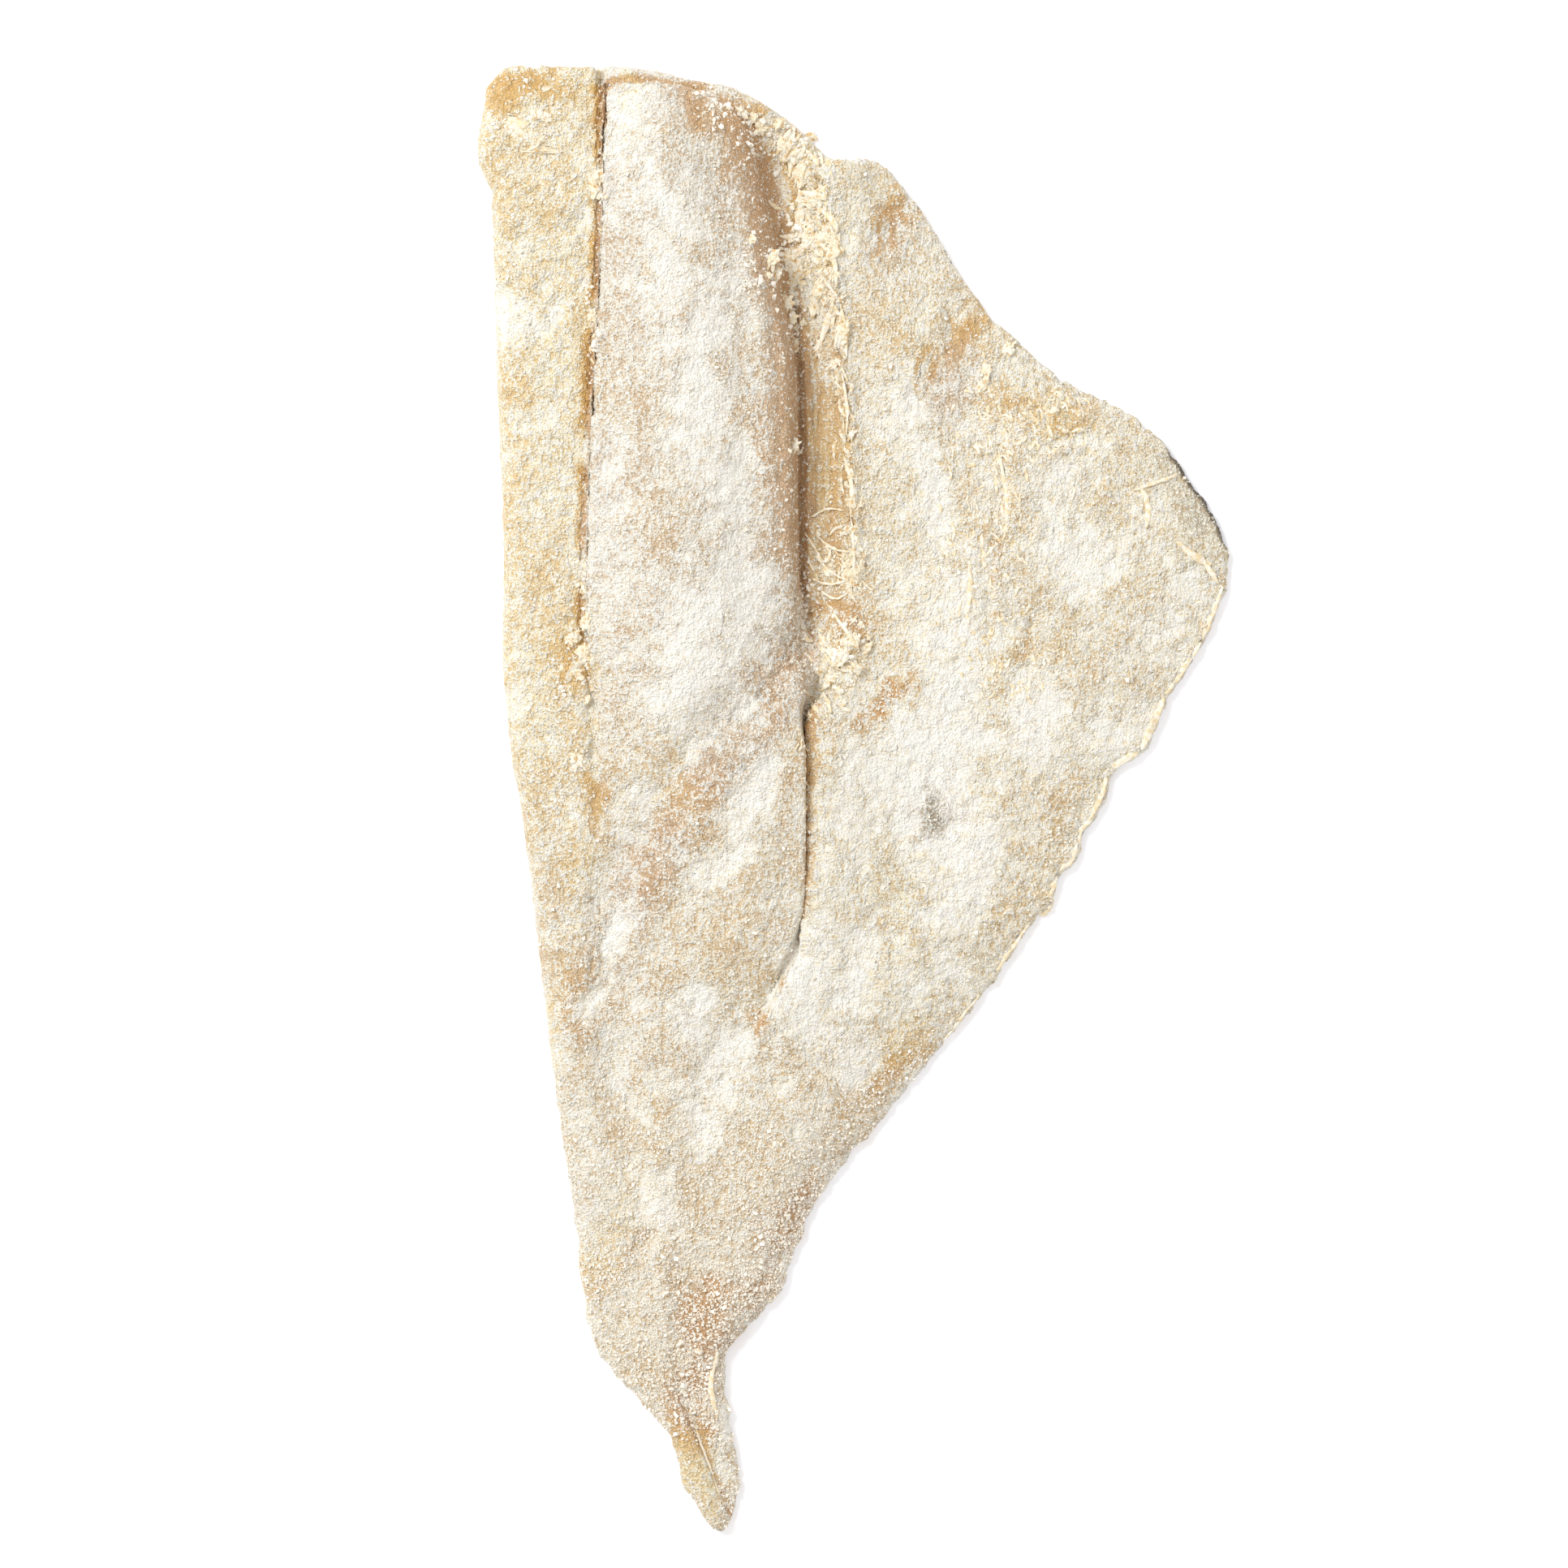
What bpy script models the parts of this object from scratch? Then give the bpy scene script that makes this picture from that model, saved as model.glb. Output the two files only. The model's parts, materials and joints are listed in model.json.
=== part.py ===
"""One side of a split, salted and dried cod, lying skin side down.

The side is lofted from the blunt head cut to the tail tip. Each station is one closed ring:
the thick cut wall of the back, the back strip, the backbone groove, the domed loin, its steep
flank, the gutter left by the ribs, the thin belly flap with its rim, and the flat underside.

Metres, +Z up. +Y points to the head cut, +X to the belly. The origin is at the middle of the
underside's bounding box.
"""

import math

import bmesh
import bpy

MM = 0.001

# Driving dimensions of the whole side.
LENGTH = 480 * MM
WIDTH = 247 * MM
LOIN_HEIGHT = 34 * MM
FLAP_HEIGHT = 11 * MM
RIM_HEIGHT = 3.6 * MM

# The first stations, and the rim in front of the loin, are given as shares of the length.
HEAD_STATIONS = (0.0, 0.0015, 0.0050, 0.0090, 0.0118, 0.0160)
HEAD_RIM = 0.0095
HEAD_RIM_DROP = 0.08
HEAD_EDGE_RADIUS = 3.5 * MM
TAIL_TIP_RADIUS = 0.6 * MM
STATION_STEP = 6.6 * MM
LAST_STEP_LEAST = 2.6 * MM
EDGE_SAMPLES = 2000

# Stops are (share of the length from the head, share of the width from the back edge).
BACK_EDGE = (
    (0.000, 0.016), (0.012, 0.010), (0.056, 0.000), (0.081, 0.015), (0.118, 0.018),
    (0.229, 0.024), (0.340, 0.032), (0.391, 0.030), (0.469, 0.042), (0.508, 0.055),
    (0.619, 0.082), (0.675, 0.094), (0.786, 0.125), (0.842, 0.138), (0.878, 0.156),
    (0.914, 0.217), (0.940, 0.258), (0.964, 0.266), (0.981, 0.283), (1.000, 0.316),
)
BELLY_EDGE = (
    (0.000, 0.225), (0.004, 0.288), (0.017, 0.357), (0.034, 0.409), (0.053, 0.450),
    (0.061, 0.466), (0.064, 0.524), (0.070, 0.546), (0.131, 0.630), (0.165, 0.674),
    (0.186, 0.717), (0.214, 0.782), (0.229, 0.843), (0.245, 0.890), (0.270, 0.933),
    (0.306, 0.976), (0.340, 1.000), (0.360, 0.992), (0.391, 0.966), (0.430, 0.919),
    (0.466, 0.888), (0.480, 0.849), (0.508, 0.824), (0.580, 0.743), (0.730, 0.518),
    (0.781, 0.441), (0.836, 0.399), (0.864, 0.351), (0.884, 0.324), (0.920, 0.332),
    (0.970, 0.344), (0.989, 0.337), (1.000, 0.326),
)
GROOVE_LINE = (
    (0.000, 0.161), (0.062, 0.161), (0.145, 0.156), (0.201, 0.150), (0.285, 0.141),
    (0.368, 0.138), (0.452, 0.152), (0.535, 0.157), (0.675, 0.190), (0.842, 0.216),
    (0.897, 0.241), (0.948, 0.284), (1.000, 0.319),
)
FLANK_FOOT = (
    (0.000, 0.216), (0.017, 0.311), (0.040, 0.365), (0.090, 0.398), (0.145, 0.417),
    (0.201, 0.426), (0.352, 0.430), (0.385, 0.441), (0.413, 0.446), (0.446, 0.432),
    (0.563, 0.430), (0.602, 0.419), (0.630, 0.385), (0.664, 0.346), (0.758, 0.311),
    (0.842, 0.290), (0.897, 0.284), (0.948, 0.309), (1.000, 0.322),
)
GUTTER_EDGE = (
    (0.000, 0.220), (0.017, 0.334), (0.053, 0.430), (0.090, 0.458), (0.173, 0.472),
    (0.335, 0.495), (0.374, 0.488), (0.424, 0.479), (0.452, 0.450), (0.563, 0.446),
    (0.608, 0.435), (0.636, 0.403), (0.669, 0.365), (0.758, 0.335), (0.842, 0.315),
    (0.897, 0.301), (0.948, 0.322), (1.000, 0.3235),
)

# Heights along the side: shares of LOIN_HEIGHT, FLAP_HEIGHT or RIM_HEIGHT.
LOIN_CREST = (
    (0.00, 0.86), (0.03, 0.95), (0.10, 1.00), (0.25, 1.00), (0.38, 0.92), (0.45, 0.80),
    (0.52, 0.67), (0.60, 0.55), (0.70, 0.44), (0.80, 0.37), (0.87, 0.32), (0.92, 0.27),
    (0.96, 0.22), (1.00, 0.11),
)
STRIP_HEIGHT = (
    (0.00, 0.64), (0.10, 0.68), (0.30, 0.66), (0.42, 0.64), (0.52, 0.58), (0.60, 0.51),
    (0.70, 0.425), (0.80, 0.355), (0.87, 0.31), (0.92, 0.26), (0.96, 0.21), (1.00, 0.10),
)
LOIN_LIP = (
    (0.00, 0.80), (0.05, 0.86), (0.25, 0.83), (0.38, 0.72), (0.48, 0.61), (0.56, 0.54),
    (0.70, 0.425), (0.80, 0.355), (0.87, 0.31), (0.92, 0.26), (0.96, 0.21), (1.00, 0.10),
)
FLANK_TOP = (
    (0.00, 0.62), (0.05, 0.66), (0.20, 0.72), (0.35, 0.66), (0.42, 0.58), (0.50, 0.56),
    (0.57, 0.49), (0.63, 0.42), (0.70, 0.37), (0.80, 0.32), (0.87, 0.28), (0.92, 0.22),
    (0.96, 0.18), (1.00, 0.09),
)
GUTTER_FLOOR = (
    (0.000, 1.60), (0.030, 1.25), (0.070, 0.66), (0.200, 0.58), (0.350, 0.62), (0.420, 0.80),
    (0.460, 0.72), (0.560, 0.82), (0.610, 1.02), (0.660, 1.14), (0.750, 1.00), (0.870, 0.80),
    (0.920, 0.64), (1.000, 0.26),
)
FLAP_TOP = (
    (0.000, 1.50), (0.030, 1.15), (0.070, 0.92), (0.200, 1.02), (0.350, 1.00), (0.500, 1.06),
    (0.620, 1.14), (0.700, 1.10), (0.780, 0.98), (0.870, 0.78), (0.920, 0.60), (1.000, 0.25),
)
RIM_TOP = (
    (0.000, 4.20), (0.030, 2.40), (0.060, 1.30), (0.140, 1.20), (0.340, 0.90), (0.600, 0.90),
    (0.840, 1.15), (0.900, 1.20), (1.000, 0.70),
)

# Widths along the side, in metres.
GROOVE_HALF_WIDTH = (
    (0.00, 1.7 * MM), (0.25, 1.5 * MM), (0.34, 1.6 * MM), (0.46, 2.6 * MM), (0.60, 3.2 * MM),
    (0.80, 3.0 * MM), (0.95, 0.8 * MM), (1.00, 0.15 * MM),
)
GROOVE_DEPTH = (
    (0.00, 7.0 * MM), (0.06, 10.0 * MM), (0.20, 9.0 * MM), (0.29, 6.5 * MM), (0.36, 4.2 * MM),
    (0.42, 2.6 * MM), (0.48, 1.4 * MM), (0.58, 0.0), (1.00, 0.0),
)
FLANK_WIDTH = (
    (0.000, 1.5 * MM), (0.040, 7.0 * MM), (0.090, 14.0 * MM), (0.285, 11.0 * MM),
    (0.390, 12.0 * MM), (0.440, 3.0 * MM), (0.480, -0.6 * MM), (0.570, -0.6 * MM),
    (0.610, 3.0 * MM), (0.664, 9.0 * MM), (0.870, 8.0 * MM), (1.000, 0.3 * MM),
)

# A fold is (path, half width, rise): a soft ridge or, where its rise is negative, a valley.
# Its path is made of (share of the length, share of the width).
VALLEY_PATH = (
    (0.374, 0.432), (0.424, 0.385), (0.441, 0.332), (0.469, 0.278), (0.519, 0.224),
    (0.558, 0.181), (0.595, 0.165), (0.630, 0.165),
)
FOLDS = (
    (VALLEY_PATH, 7.5 * MM, -4.2 * MM),
    (((0.470, 0.400), (0.540, 0.380), (0.590, 0.350)), 10.0 * MM, 2.2 * MM),
    (((0.670, 0.175), (0.720, 0.195), (0.790, 0.210)), 6.0 * MM, -1.5 * MM),
    (((0.795, 0.230), (0.812, 0.215)), 3.0 * MM, -1.6 * MM),
    (((0.600, 0.115), (0.700, 0.130), (0.780, 0.165)), 5.0 * MM, 1.2 * MM),
    (((0.080, 0.535), (0.130, 0.575)), 7.0 * MM, -1.8 * MM),
    (((0.115, 0.500), (0.200, 0.545), (0.280, 0.580)), 8.0 * MM, 1.3 * MM),
    (((0.180, 0.620), (0.240, 0.655), (0.300, 0.690)), 6.0 * MM, -1.2 * MM),
    (((0.300, 0.700), (0.400, 0.720)), 5.0 * MM, -1.3 * MM),
    (((0.420, 0.560), (0.520, 0.560)), 9.0 * MM, 1.0 * MM),
    (((0.600, 0.560), (0.690, 0.450), (0.760, 0.380)), 7.0 * MM, 1.3 * MM),
)
FOLD_FIRM_HEIGHT = 4.0 * MM
FLAP_WAVE_HEIGHT = 0.6 * MM
FLAP_WAVE_LENGTH = 62 * MM
FLAP_WAVE_SLANT = 0.6

# Shapes within a section, as shares of the stretch that each belongs to.
WALL_WIDEST = 0.42
BACK_WALL_TOP = 0.94
BACK_WALL_REACH = 0.24
RIM_REACH = 0.35
RIM_LEAST_REACH = 2.2 * MM
MOST_REACH = 0.30
STRIP_CROWN_START = 0.62
GROOVE_FLOOR = 0.40
GUTTER_FLOOR_END = 0.40
FLAP_THINNING_POWER = 2.1
MOST_DRAWN_IN = 0.60

# How many points a ring has in each of its stretches.
WALL_POINTS = 6
STRIP_POINTS = 4
LOIN_POINTS = 9
FLANK_POINTS = 3
GUTTER_POINTS = 3
FLAP_POINTS = 8
RIM_POINTS = 4
UNDERSIDE_POINTS = 6

SHARP_ANGLE = math.radians(50)
FLESH_COLOUR = (0.80, 0.69, 0.50, 1.0)
FLESH_ROUGHNESS = 0.75


def lerp(a, b, share):
    return a + (b - a) * share


def ease(share):
    """0 to 1 with flat ends."""
    share = min(max(share, 0.0), 1.0)
    return share * share * (3 - 2 * share)


def slope_at(stops, index):
    """The slope at a stop: flat where the stops turn back, so that no curve swings past them."""
    before = stops[max(index - 1, 0)]
    here = stops[index]
    after = stops[min(index + 1, len(stops) - 1)]
    if before is here or after is here:
        return (after[1] - before[1]) / (after[0] - before[0])
    left = (here[1] - before[1]) / (here[0] - before[0])
    right = (after[1] - here[1]) / (after[0] - here[0])
    return 0.0 if left * right <= 0 else 2 * left * right / (left + right)


def along(stops, place):
    """The value, at this share of the length, of the smooth curve through the stops."""
    index = 0
    while index < len(stops) - 2 and place > stops[index + 1][0]:
        index += 1
    start, end = stops[index], stops[index + 1]
    run = end[0] - start[0]
    s = min(max((place - start[0]) / run, 0.0), 1.0)
    return (
        start[1] * (1 + 2 * s) * (1 - s) ** 2
        + slope_at(stops, index) * run * s * (1 - s) ** 2
        + end[1] * s * s * (3 - 2 * s)
        + slope_at(stops, index + 1) * run * s * s * (s - 1)
    )


def across(line, place):
    """How far, in metres, a line lies from the furthest point of the back edge."""
    return WIDTH * along(line, place)


def distance_to(path, y, x):
    """How far a point lies from a path, both measured from the head and the back edge."""
    best = math.inf
    for (t0, u0), (t1, u1) in zip(path, path[1:]):
        start = (t0 * LENGTH, u0 * WIDTH)
        run = (t1 * LENGTH - start[0], u1 * WIDTH - start[1])
        forward = (y - start[0]) * run[0] + (x - start[1]) * run[1]
        share = min(max(forward / (run[0] ** 2 + run[1] ** 2), 0.0), 1.0)
        near = (start[0] + share * run[0], start[1] + share * run[1])
        best = min(best, math.dist(near, (y, x)))
    return best


def folded(place, x, z):
    """The height of a point once every fold has raised or lowered it, less so near the floor."""
    rise = 0.0
    for path, half_width, most in FOLDS:
        rise += most * math.exp(-((distance_to(path, place * LENGTH, x) / half_width) ** 2))
    return z + rise * z / (z + FOLD_FIRM_HEIGHT)


def wall_arc(edge, reach, top, count, side):
    """The rounded edge of the side from underside to top, as (x, z); side is +1 or -1."""
    middle = WALL_WIDEST * top
    points = []
    for step in range(count + 1):
        angle = math.radians(lerp(-90, 90, step / count))
        half = middle if angle < 0 else top - middle
        x = edge + side * reach * (1 - math.cos(angle))
        points.append((x, middle + half * math.sin(angle)))
    return points


def loin_section(place, lip, foot):
    """The dome from the groove's lip to the flank's top, then the flank down to its foot."""
    crest = LOIN_HEIGHT * along(LOIN_CREST, place)
    start = LOIN_HEIGHT * along(LOIN_LIP, place)
    end = LOIN_HEIGHT * along(FLANK_TOP, place)
    if place < HEAD_RIM:
        crest, start, end = (z * (1 - HEAD_RIM_DROP) for z in (crest, start, end))
    shoulder = foot - along(FLANK_WIDTH, place)
    points = []
    for step in range(LOIN_POINTS + 1):
        s = step / LOIN_POINTS
        dome = (crest - 0.5 * (start + end)) * math.sin(math.pi * s)
        points.append((lerp(lip, shoulder, s), lerp(start, end, s) + dome))
    floor = FLAP_HEIGHT * along(GUTTER_FLOOR, place)
    for step in range(1, FLANK_POINTS + 1):
        s = step / FLANK_POINTS
        points.append((lerp(shoulder, foot, s), lerp(end, floor, ease(s))))
    return points


def flap_section(place, foot, gutter, inner_rim):
    """The gutter beside the flank, then the belly flap out to where its rim starts."""
    floor = FLAP_HEIGHT * along(GUTTER_FLOOR, place)
    top = FLAP_HEIGHT * along(FLAP_TOP, place)
    rim = RIM_HEIGHT * along(RIM_TOP, place)
    points = []
    for step in range(1, GUTTER_POINTS + 1):
        s = step / GUTTER_POINTS
        climb = ease((s - GUTTER_FLOOR_END) / (1 - GUTTER_FLOOR_END))
        points.append((lerp(foot, gutter, s), lerp(floor, top, climb)))
    for step in range(1, FLAP_POINTS):
        s = step / FLAP_POINTS
        x = lerp(gutter, inner_rim, s)
        phase = (x + FLAP_WAVE_SLANT * place * LENGTH) / FLAP_WAVE_LENGTH
        wave = FLAP_WAVE_HEIGHT * math.sin(math.tau * phase) * math.sin(math.pi * s)
        points.append((x, lerp(top, rim, s**FLAP_THINNING_POWER) + wave))
    return points


def ring(place):
    """One closed section of the side as (x, z) points, over the top and back underneath."""
    back, belly = across(BACK_EDGE, place), across(BELLY_EDGE, place)
    groove = across(GROOVE_LINE, place)
    foot = across(FLANK_FOOT, place)
    gutter = across(GUTTER_EDGE, place)
    half = along(GROOVE_HALF_WIDTH, place)
    strip = LOIN_HEIGHT * along(STRIP_HEIGHT, place)
    rim = RIM_HEIGHT * along(RIM_TOP, place)

    wall_reach = min(BACK_WALL_REACH * strip, MOST_REACH * (groove - half - back))
    top = wall_arc(back, wall_reach, BACK_WALL_TOP * strip, WALL_POINTS, 1)
    start = top[-1]
    for step in range(1, STRIP_POINTS + 1):
        s = step / STRIP_POINTS
        crown = math.sin(0.5 * math.pi * min(s / STRIP_CROWN_START, 1.0))
        top.append((lerp(start[0], groove - half, s), lerp(start[1], strip, crown)))
    lip = LOIN_HEIGHT * along(LOIN_LIP, place)
    bottom = min(strip, lip) - along(GROOVE_DEPTH, place)
    top.append((groove - GROOVE_FLOOR * half, bottom))
    top.append((groove + GROOVE_FLOOR * half, bottom))
    top += loin_section(place, groove + half, foot)
    rim_reach = min(max(RIM_LEAST_REACH, RIM_REACH * rim), MOST_REACH * (belly - gutter))
    top += flap_section(place, foot, gutter, belly - rim_reach)
    top += reversed(wall_arc(belly, rim_reach, rim, RIM_POINTS, -1))

    top = [(x, folded(place, x, z)) for x, z in top]
    first, last = top[0][0], top[-1][0]
    steps = range(1, UNDERSIDE_POINTS)
    return top + [(lerp(last, first, step / UNDERSIDE_POINTS), 0.0) for step in steps]


def drawn_in(points, inset):
    """The same ring with its outline pulled in, which rounds the end of the loft."""
    xs = [x for x, _ in points]
    zs = [z for _, z in points]
    middle_x, half_x = 0.5 * (min(xs) + max(xs)), 0.5 * (max(xs) - min(xs))
    middle_z, half_z = 0.5 * (min(zs) + max(zs)), 0.5 * (max(zs) - min(zs))
    keep_x = 1 - min(inset / half_x, MOST_DRAWN_IN)
    keep_z = 1 - min(inset / half_z, MOST_DRAWN_IN)
    return [(lerp(middle_x, x, keep_x), lerp(middle_z, z, keep_z)) for x, z in points]


def round_inset(distance, radius):
    """How far a round edge of this radius has drawn in, this far from the end face."""
    return radius - math.sqrt(radius**2 - (radius - distance) ** 2)


def stations():
    """Shares of the length, one for each STATION_STEP along the run of the belly edge."""
    places = list(HEAD_STATIONS)
    run = 0.0
    before = (across(BELLY_EDGE, places[-1]), places[-1] * LENGTH)
    for step in range(1, EDGE_SAMPLES + 1):
        place = lerp(HEAD_STATIONS[-1], 1.0, step / EDGE_SAMPLES)
        here = (across(BELLY_EDGE, place), place * LENGTH)
        run += math.dist(before, here)
        before = here
        if run >= STATION_STEP and (1 - place) * LENGTH > LAST_STEP_LEAST:
            places.append(place)
            run = 0.0
    return places + [1.0]


def loft(name, rings):
    """A closed mesh through rings of (x, y, z) points, all with the same number of them."""
    shape = bmesh.new()
    loops = [[shape.verts.new(point) for point in points] for points in rings]
    count = len(loops[0])
    for near, far in zip(loops, loops[1:]):
        for index in range(count):
            after = (index + 1) % count
            shape.faces.new((near[index], near[after], far[after], far[index]))
    shape.faces.new(reversed(loops[0]))
    shape.faces.new(loops[-1])
    bmesh.ops.triangulate(shape, faces=shape.faces[:])
    bmesh.ops.recalc_face_normals(shape, faces=shape.faces[:])
    mesh = bpy.data.meshes.new(name)
    shape.to_mesh(mesh)
    shape.free()
    mesh.shade_smooth()
    mesh.set_sharp_from_angle(angle=SHARP_ANGLE)
    return mesh


def flesh_material():
    material = bpy.data.materials.new("salted_flesh")
    material.use_nodes = True
    shader = material.node_tree.nodes["Principled BSDF"]
    shader.inputs["Base Color"].default_value = FLESH_COLOUR
    shader.inputs["Roughness"].default_value = FLESH_ROUGHNESS
    shader.inputs["Metallic"].default_value = 0.0
    return material


def cod_side():
    places = stations()
    rings = []
    for place in places:
        points = ring(place)
        from_head_face = place * LENGTH
        if from_head_face < HEAD_EDGE_RADIUS:
            points = drawn_in(points, round_inset(from_head_face, HEAD_EDGE_RADIUS))
        elif place == 1.0:
            points = drawn_in(points, TAIL_TIP_RADIUS)
        y = LENGTH * (0.5 - place)
        rings.append([(x - 0.5 * WIDTH, y, z) for x, z in points])
    side = bpy.data.objects.new("cod_side", loft("cod_side", rings))
    side.data.materials.append(flesh_material())
    bpy.context.scene.collection.objects.link(side)
    return side


for leftover in list(bpy.data.objects):
    bpy.data.objects.remove(leftover)
cod_side()
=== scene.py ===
# %% [markdown]
# # A side of salted, dried cod
# The frame holds one plain solid: a side of split cod, flesh up, head cut towards +Y, tail
# towards -Y and belly towards +X. This lesson gives it the surface of the real food: flesh in
# cream and tan under a crust of salt, amber where a membrane dried bare, torn shreds beside the
# ribs' gutter, and grey-brown skin below. Every piece is worked out from the solid's own box.

# %% Load the frame
import json
import math

import bmesh
import bpy
import numpy as np
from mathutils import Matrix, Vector, bvhtree, kdtree, noise

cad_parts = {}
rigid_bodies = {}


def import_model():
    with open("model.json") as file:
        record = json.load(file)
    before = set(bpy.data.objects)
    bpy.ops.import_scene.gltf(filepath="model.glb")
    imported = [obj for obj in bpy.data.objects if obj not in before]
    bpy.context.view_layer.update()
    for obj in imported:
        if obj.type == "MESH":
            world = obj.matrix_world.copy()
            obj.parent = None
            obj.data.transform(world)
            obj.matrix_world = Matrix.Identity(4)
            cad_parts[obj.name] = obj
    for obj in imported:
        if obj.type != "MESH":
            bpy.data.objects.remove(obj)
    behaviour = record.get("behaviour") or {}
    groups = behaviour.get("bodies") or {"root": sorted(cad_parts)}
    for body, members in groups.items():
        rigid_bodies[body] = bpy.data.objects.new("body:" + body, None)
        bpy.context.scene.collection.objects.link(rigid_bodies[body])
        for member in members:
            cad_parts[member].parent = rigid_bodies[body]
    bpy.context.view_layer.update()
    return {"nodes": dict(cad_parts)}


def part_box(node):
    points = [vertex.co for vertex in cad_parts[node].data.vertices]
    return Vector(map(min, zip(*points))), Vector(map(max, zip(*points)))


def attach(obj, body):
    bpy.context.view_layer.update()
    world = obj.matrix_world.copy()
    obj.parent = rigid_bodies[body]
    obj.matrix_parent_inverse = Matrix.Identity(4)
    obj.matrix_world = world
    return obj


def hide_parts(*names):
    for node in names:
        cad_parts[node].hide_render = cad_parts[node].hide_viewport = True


MM = 0.001
for thing in list(bpy.data.objects):
    bpy.data.objects.remove(thing)
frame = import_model()
low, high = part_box("cod_side")
LENGTH = high.y - low.y
WIDTH = high.x - low.x
scene = bpy.context.scene
print(f"the side is {LENGTH / MM:.0f} mm long and {WIDTH / MM:.0f} mm wide")

# %% [markdown]
# ## Camera
# The side is looked at from straight above, so the camera hangs over it and looks down. A long
# lens from almost three metres away keeps the thick loin from leaning outward. The view is a
# little off the middle, because the piece itself lies off the middle.

# %% Camera
VIEW_WIDTH = 516.6 * MM
VIEW_CENTRE = (-23.7 * MM, 5.5 * MM)
LENS = 200
SENSOR = 36
CLIP_START = 50 * MM
camera_data = bpy.data.cameras.new("camera")
camera_data.lens = LENS
camera_data.sensor_width = SENSOR
camera_data.clip_start = CLIP_START
camera = bpy.data.objects.new("camera", camera_data)
scene.collection.objects.link(camera)
camera.location = (*VIEW_CENTRE, VIEW_WIDTH * LENS / SENSOR)
scene.camera = camera
print(f"the camera hangs {camera.location.z:.2f} m above the table")

# %% [markdown]
# ## Light
# Food on white is lit almost from everywhere: a bright sky fills the shadows and one wide soft
# lamp at the upper left draws the relief. The lamp is wide, so that shadows end softly. The
# plain Standard view keeps white salt white.

# %% Light
SKY_STRENGTH = 0.775
SKY_COLOUR = (1.0, 0.966, 0.918, 1)
KEY_POWER = 56
KEY_COLOUR = (0.96, 0.985, 1.0)
KEY_PLACE = (-1.5, 1.3, 2.1)
KEY_SIZE = 1.3

sky = bpy.data.worlds.new("sky")
scene.world = sky
sky.use_nodes = True
backdrop = sky.node_tree.nodes["Background"]
backdrop.inputs["Color"].default_value = SKY_COLOUR
backdrop.inputs["Strength"].default_value = SKY_STRENGTH
key_data = bpy.data.lights.new("key", "AREA")
key_data.shape = "DISK"
key_data.size = KEY_SIZE
key_data.energy = KEY_POWER
key_data.color = KEY_COLOUR
key = bpy.data.objects.new("key", key_data)
scene.collection.objects.link(key)
key.location = KEY_PLACE
key.rotation_euler = (-Vector(KEY_PLACE)).to_track_quat("-Z", "Y").to_euler()
scene.view_settings.view_transform = "Standard"

# %% [markdown]
# ## Shader sums as plain Python
# A material often needs sums such as `salt * 0.5 + grain`. Node by node that is long to write
# and hard to read. `Wire` wraps a socket, so that each operator adds one Math node, and `Finish`
# is the node tree of one material with a single way to add any other node.


# %% Wire and Finish
class Wire:
    """A number, colour or vector on its way through a material."""

    def __init__(self, finish, socket):
        self.finish = finish
        self.socket = socket

    def maths(self, operation, *values):
        sockets = dict(enumerate(values))
        return self.finish.node("Math", {"operation": operation}, sockets)

    def __add__(self, other):
        return self.maths("ADD", self, other)

    def __sub__(self, other):
        return self.maths("SUBTRACT", self, other)

    def __rsub__(self, other):
        return self.maths("SUBTRACT", other, self)

    def __mul__(self, other):
        return self.maths("MULTIPLY", self, other)

    def swing(self, reach):
        """Noise from 0 to 1 as a number that swings about 0."""
        return (self - 0.5) * reach


class Finish:
    """One material: its node tree, its shader and short ways to feed it."""

    def __init__(self, name, roughness):
        self.material = bpy.data.materials.new(name)
        self.material.use_nodes = True
        self.tree = self.material.node_tree
        self.shader = self.tree.nodes["Principled BSDF"]
        self.shader.inputs["Roughness"].default_value = roughness

    def node(self, kind, settings=(), sockets=(), output=0):
        """Adds a node: its settings first, then a value or a link for each named socket."""
        made = self.tree.nodes.new("ShaderNode" + kind)
        for name, value in dict(settings).items():
            setattr(made, name, value)
        for name, value in dict(sockets).items():
            if isinstance(value, Wire):
                self.tree.links.new(value.socket, made.inputs[name])
            else:
                made.inputs[name].default_value = value
        return Wire(self, made.outputs[output])

    def places(self):
        return self.node("TexCoord", output="Object")

    def grain(self, size, detail=2.0, **extra):
        """Noise from 0 to 1 with blobs of this size, in metres."""
        sockets = {"Vector": self.places(), "Scale": 1 / size, "Detail": detail, **extra}
        return self.node("TexNoise", {}, sockets)

    def cells(self, size):
        """Packed scales of this size: the distance from each scale's middle."""
        sockets = {"Vector": self.places(), "Scale": 1 / size}
        return self.node("TexVoronoi", {}, sockets, "Distance")

    def painted(self, name):
        """A number stored at every vertex of the mesh."""
        return self.node("Attribute", {"attribute_name": name}, output="Fac")

    def ease(self, value, start, end):
        """0 where the value is below start, 1 above end, eased between."""
        settings = {"interpolation_type": "SMOOTHSTEP"}
        sockets = {"Value": value, "From Min": start, "From Max": end}
        return self.node("MapRange", settings, sockets)

    def mix(self, share, first, second):
        """A colour between two colours."""
        settings = {"data_type": "RGBA", "clamp_factor": True}
        return self.node("Mix", settings, {0: share, 6: first, 7: second}, output=2)

    def feed(self, **sockets):
        """Links what varies, or sets what doesn't, on the shader's own sockets."""
        for name, value in sockets.items():
            socket = self.shader.inputs[name.replace("_", " ")]
            if isinstance(value, Wire):
                self.tree.links.new(value.socket, socket)
            else:
                socket.default_value = value

    def bump(self, height, distance):
        self.feed(Normal=self.node("Bump", {}, {"Height": height, "Distance": distance}))


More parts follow.
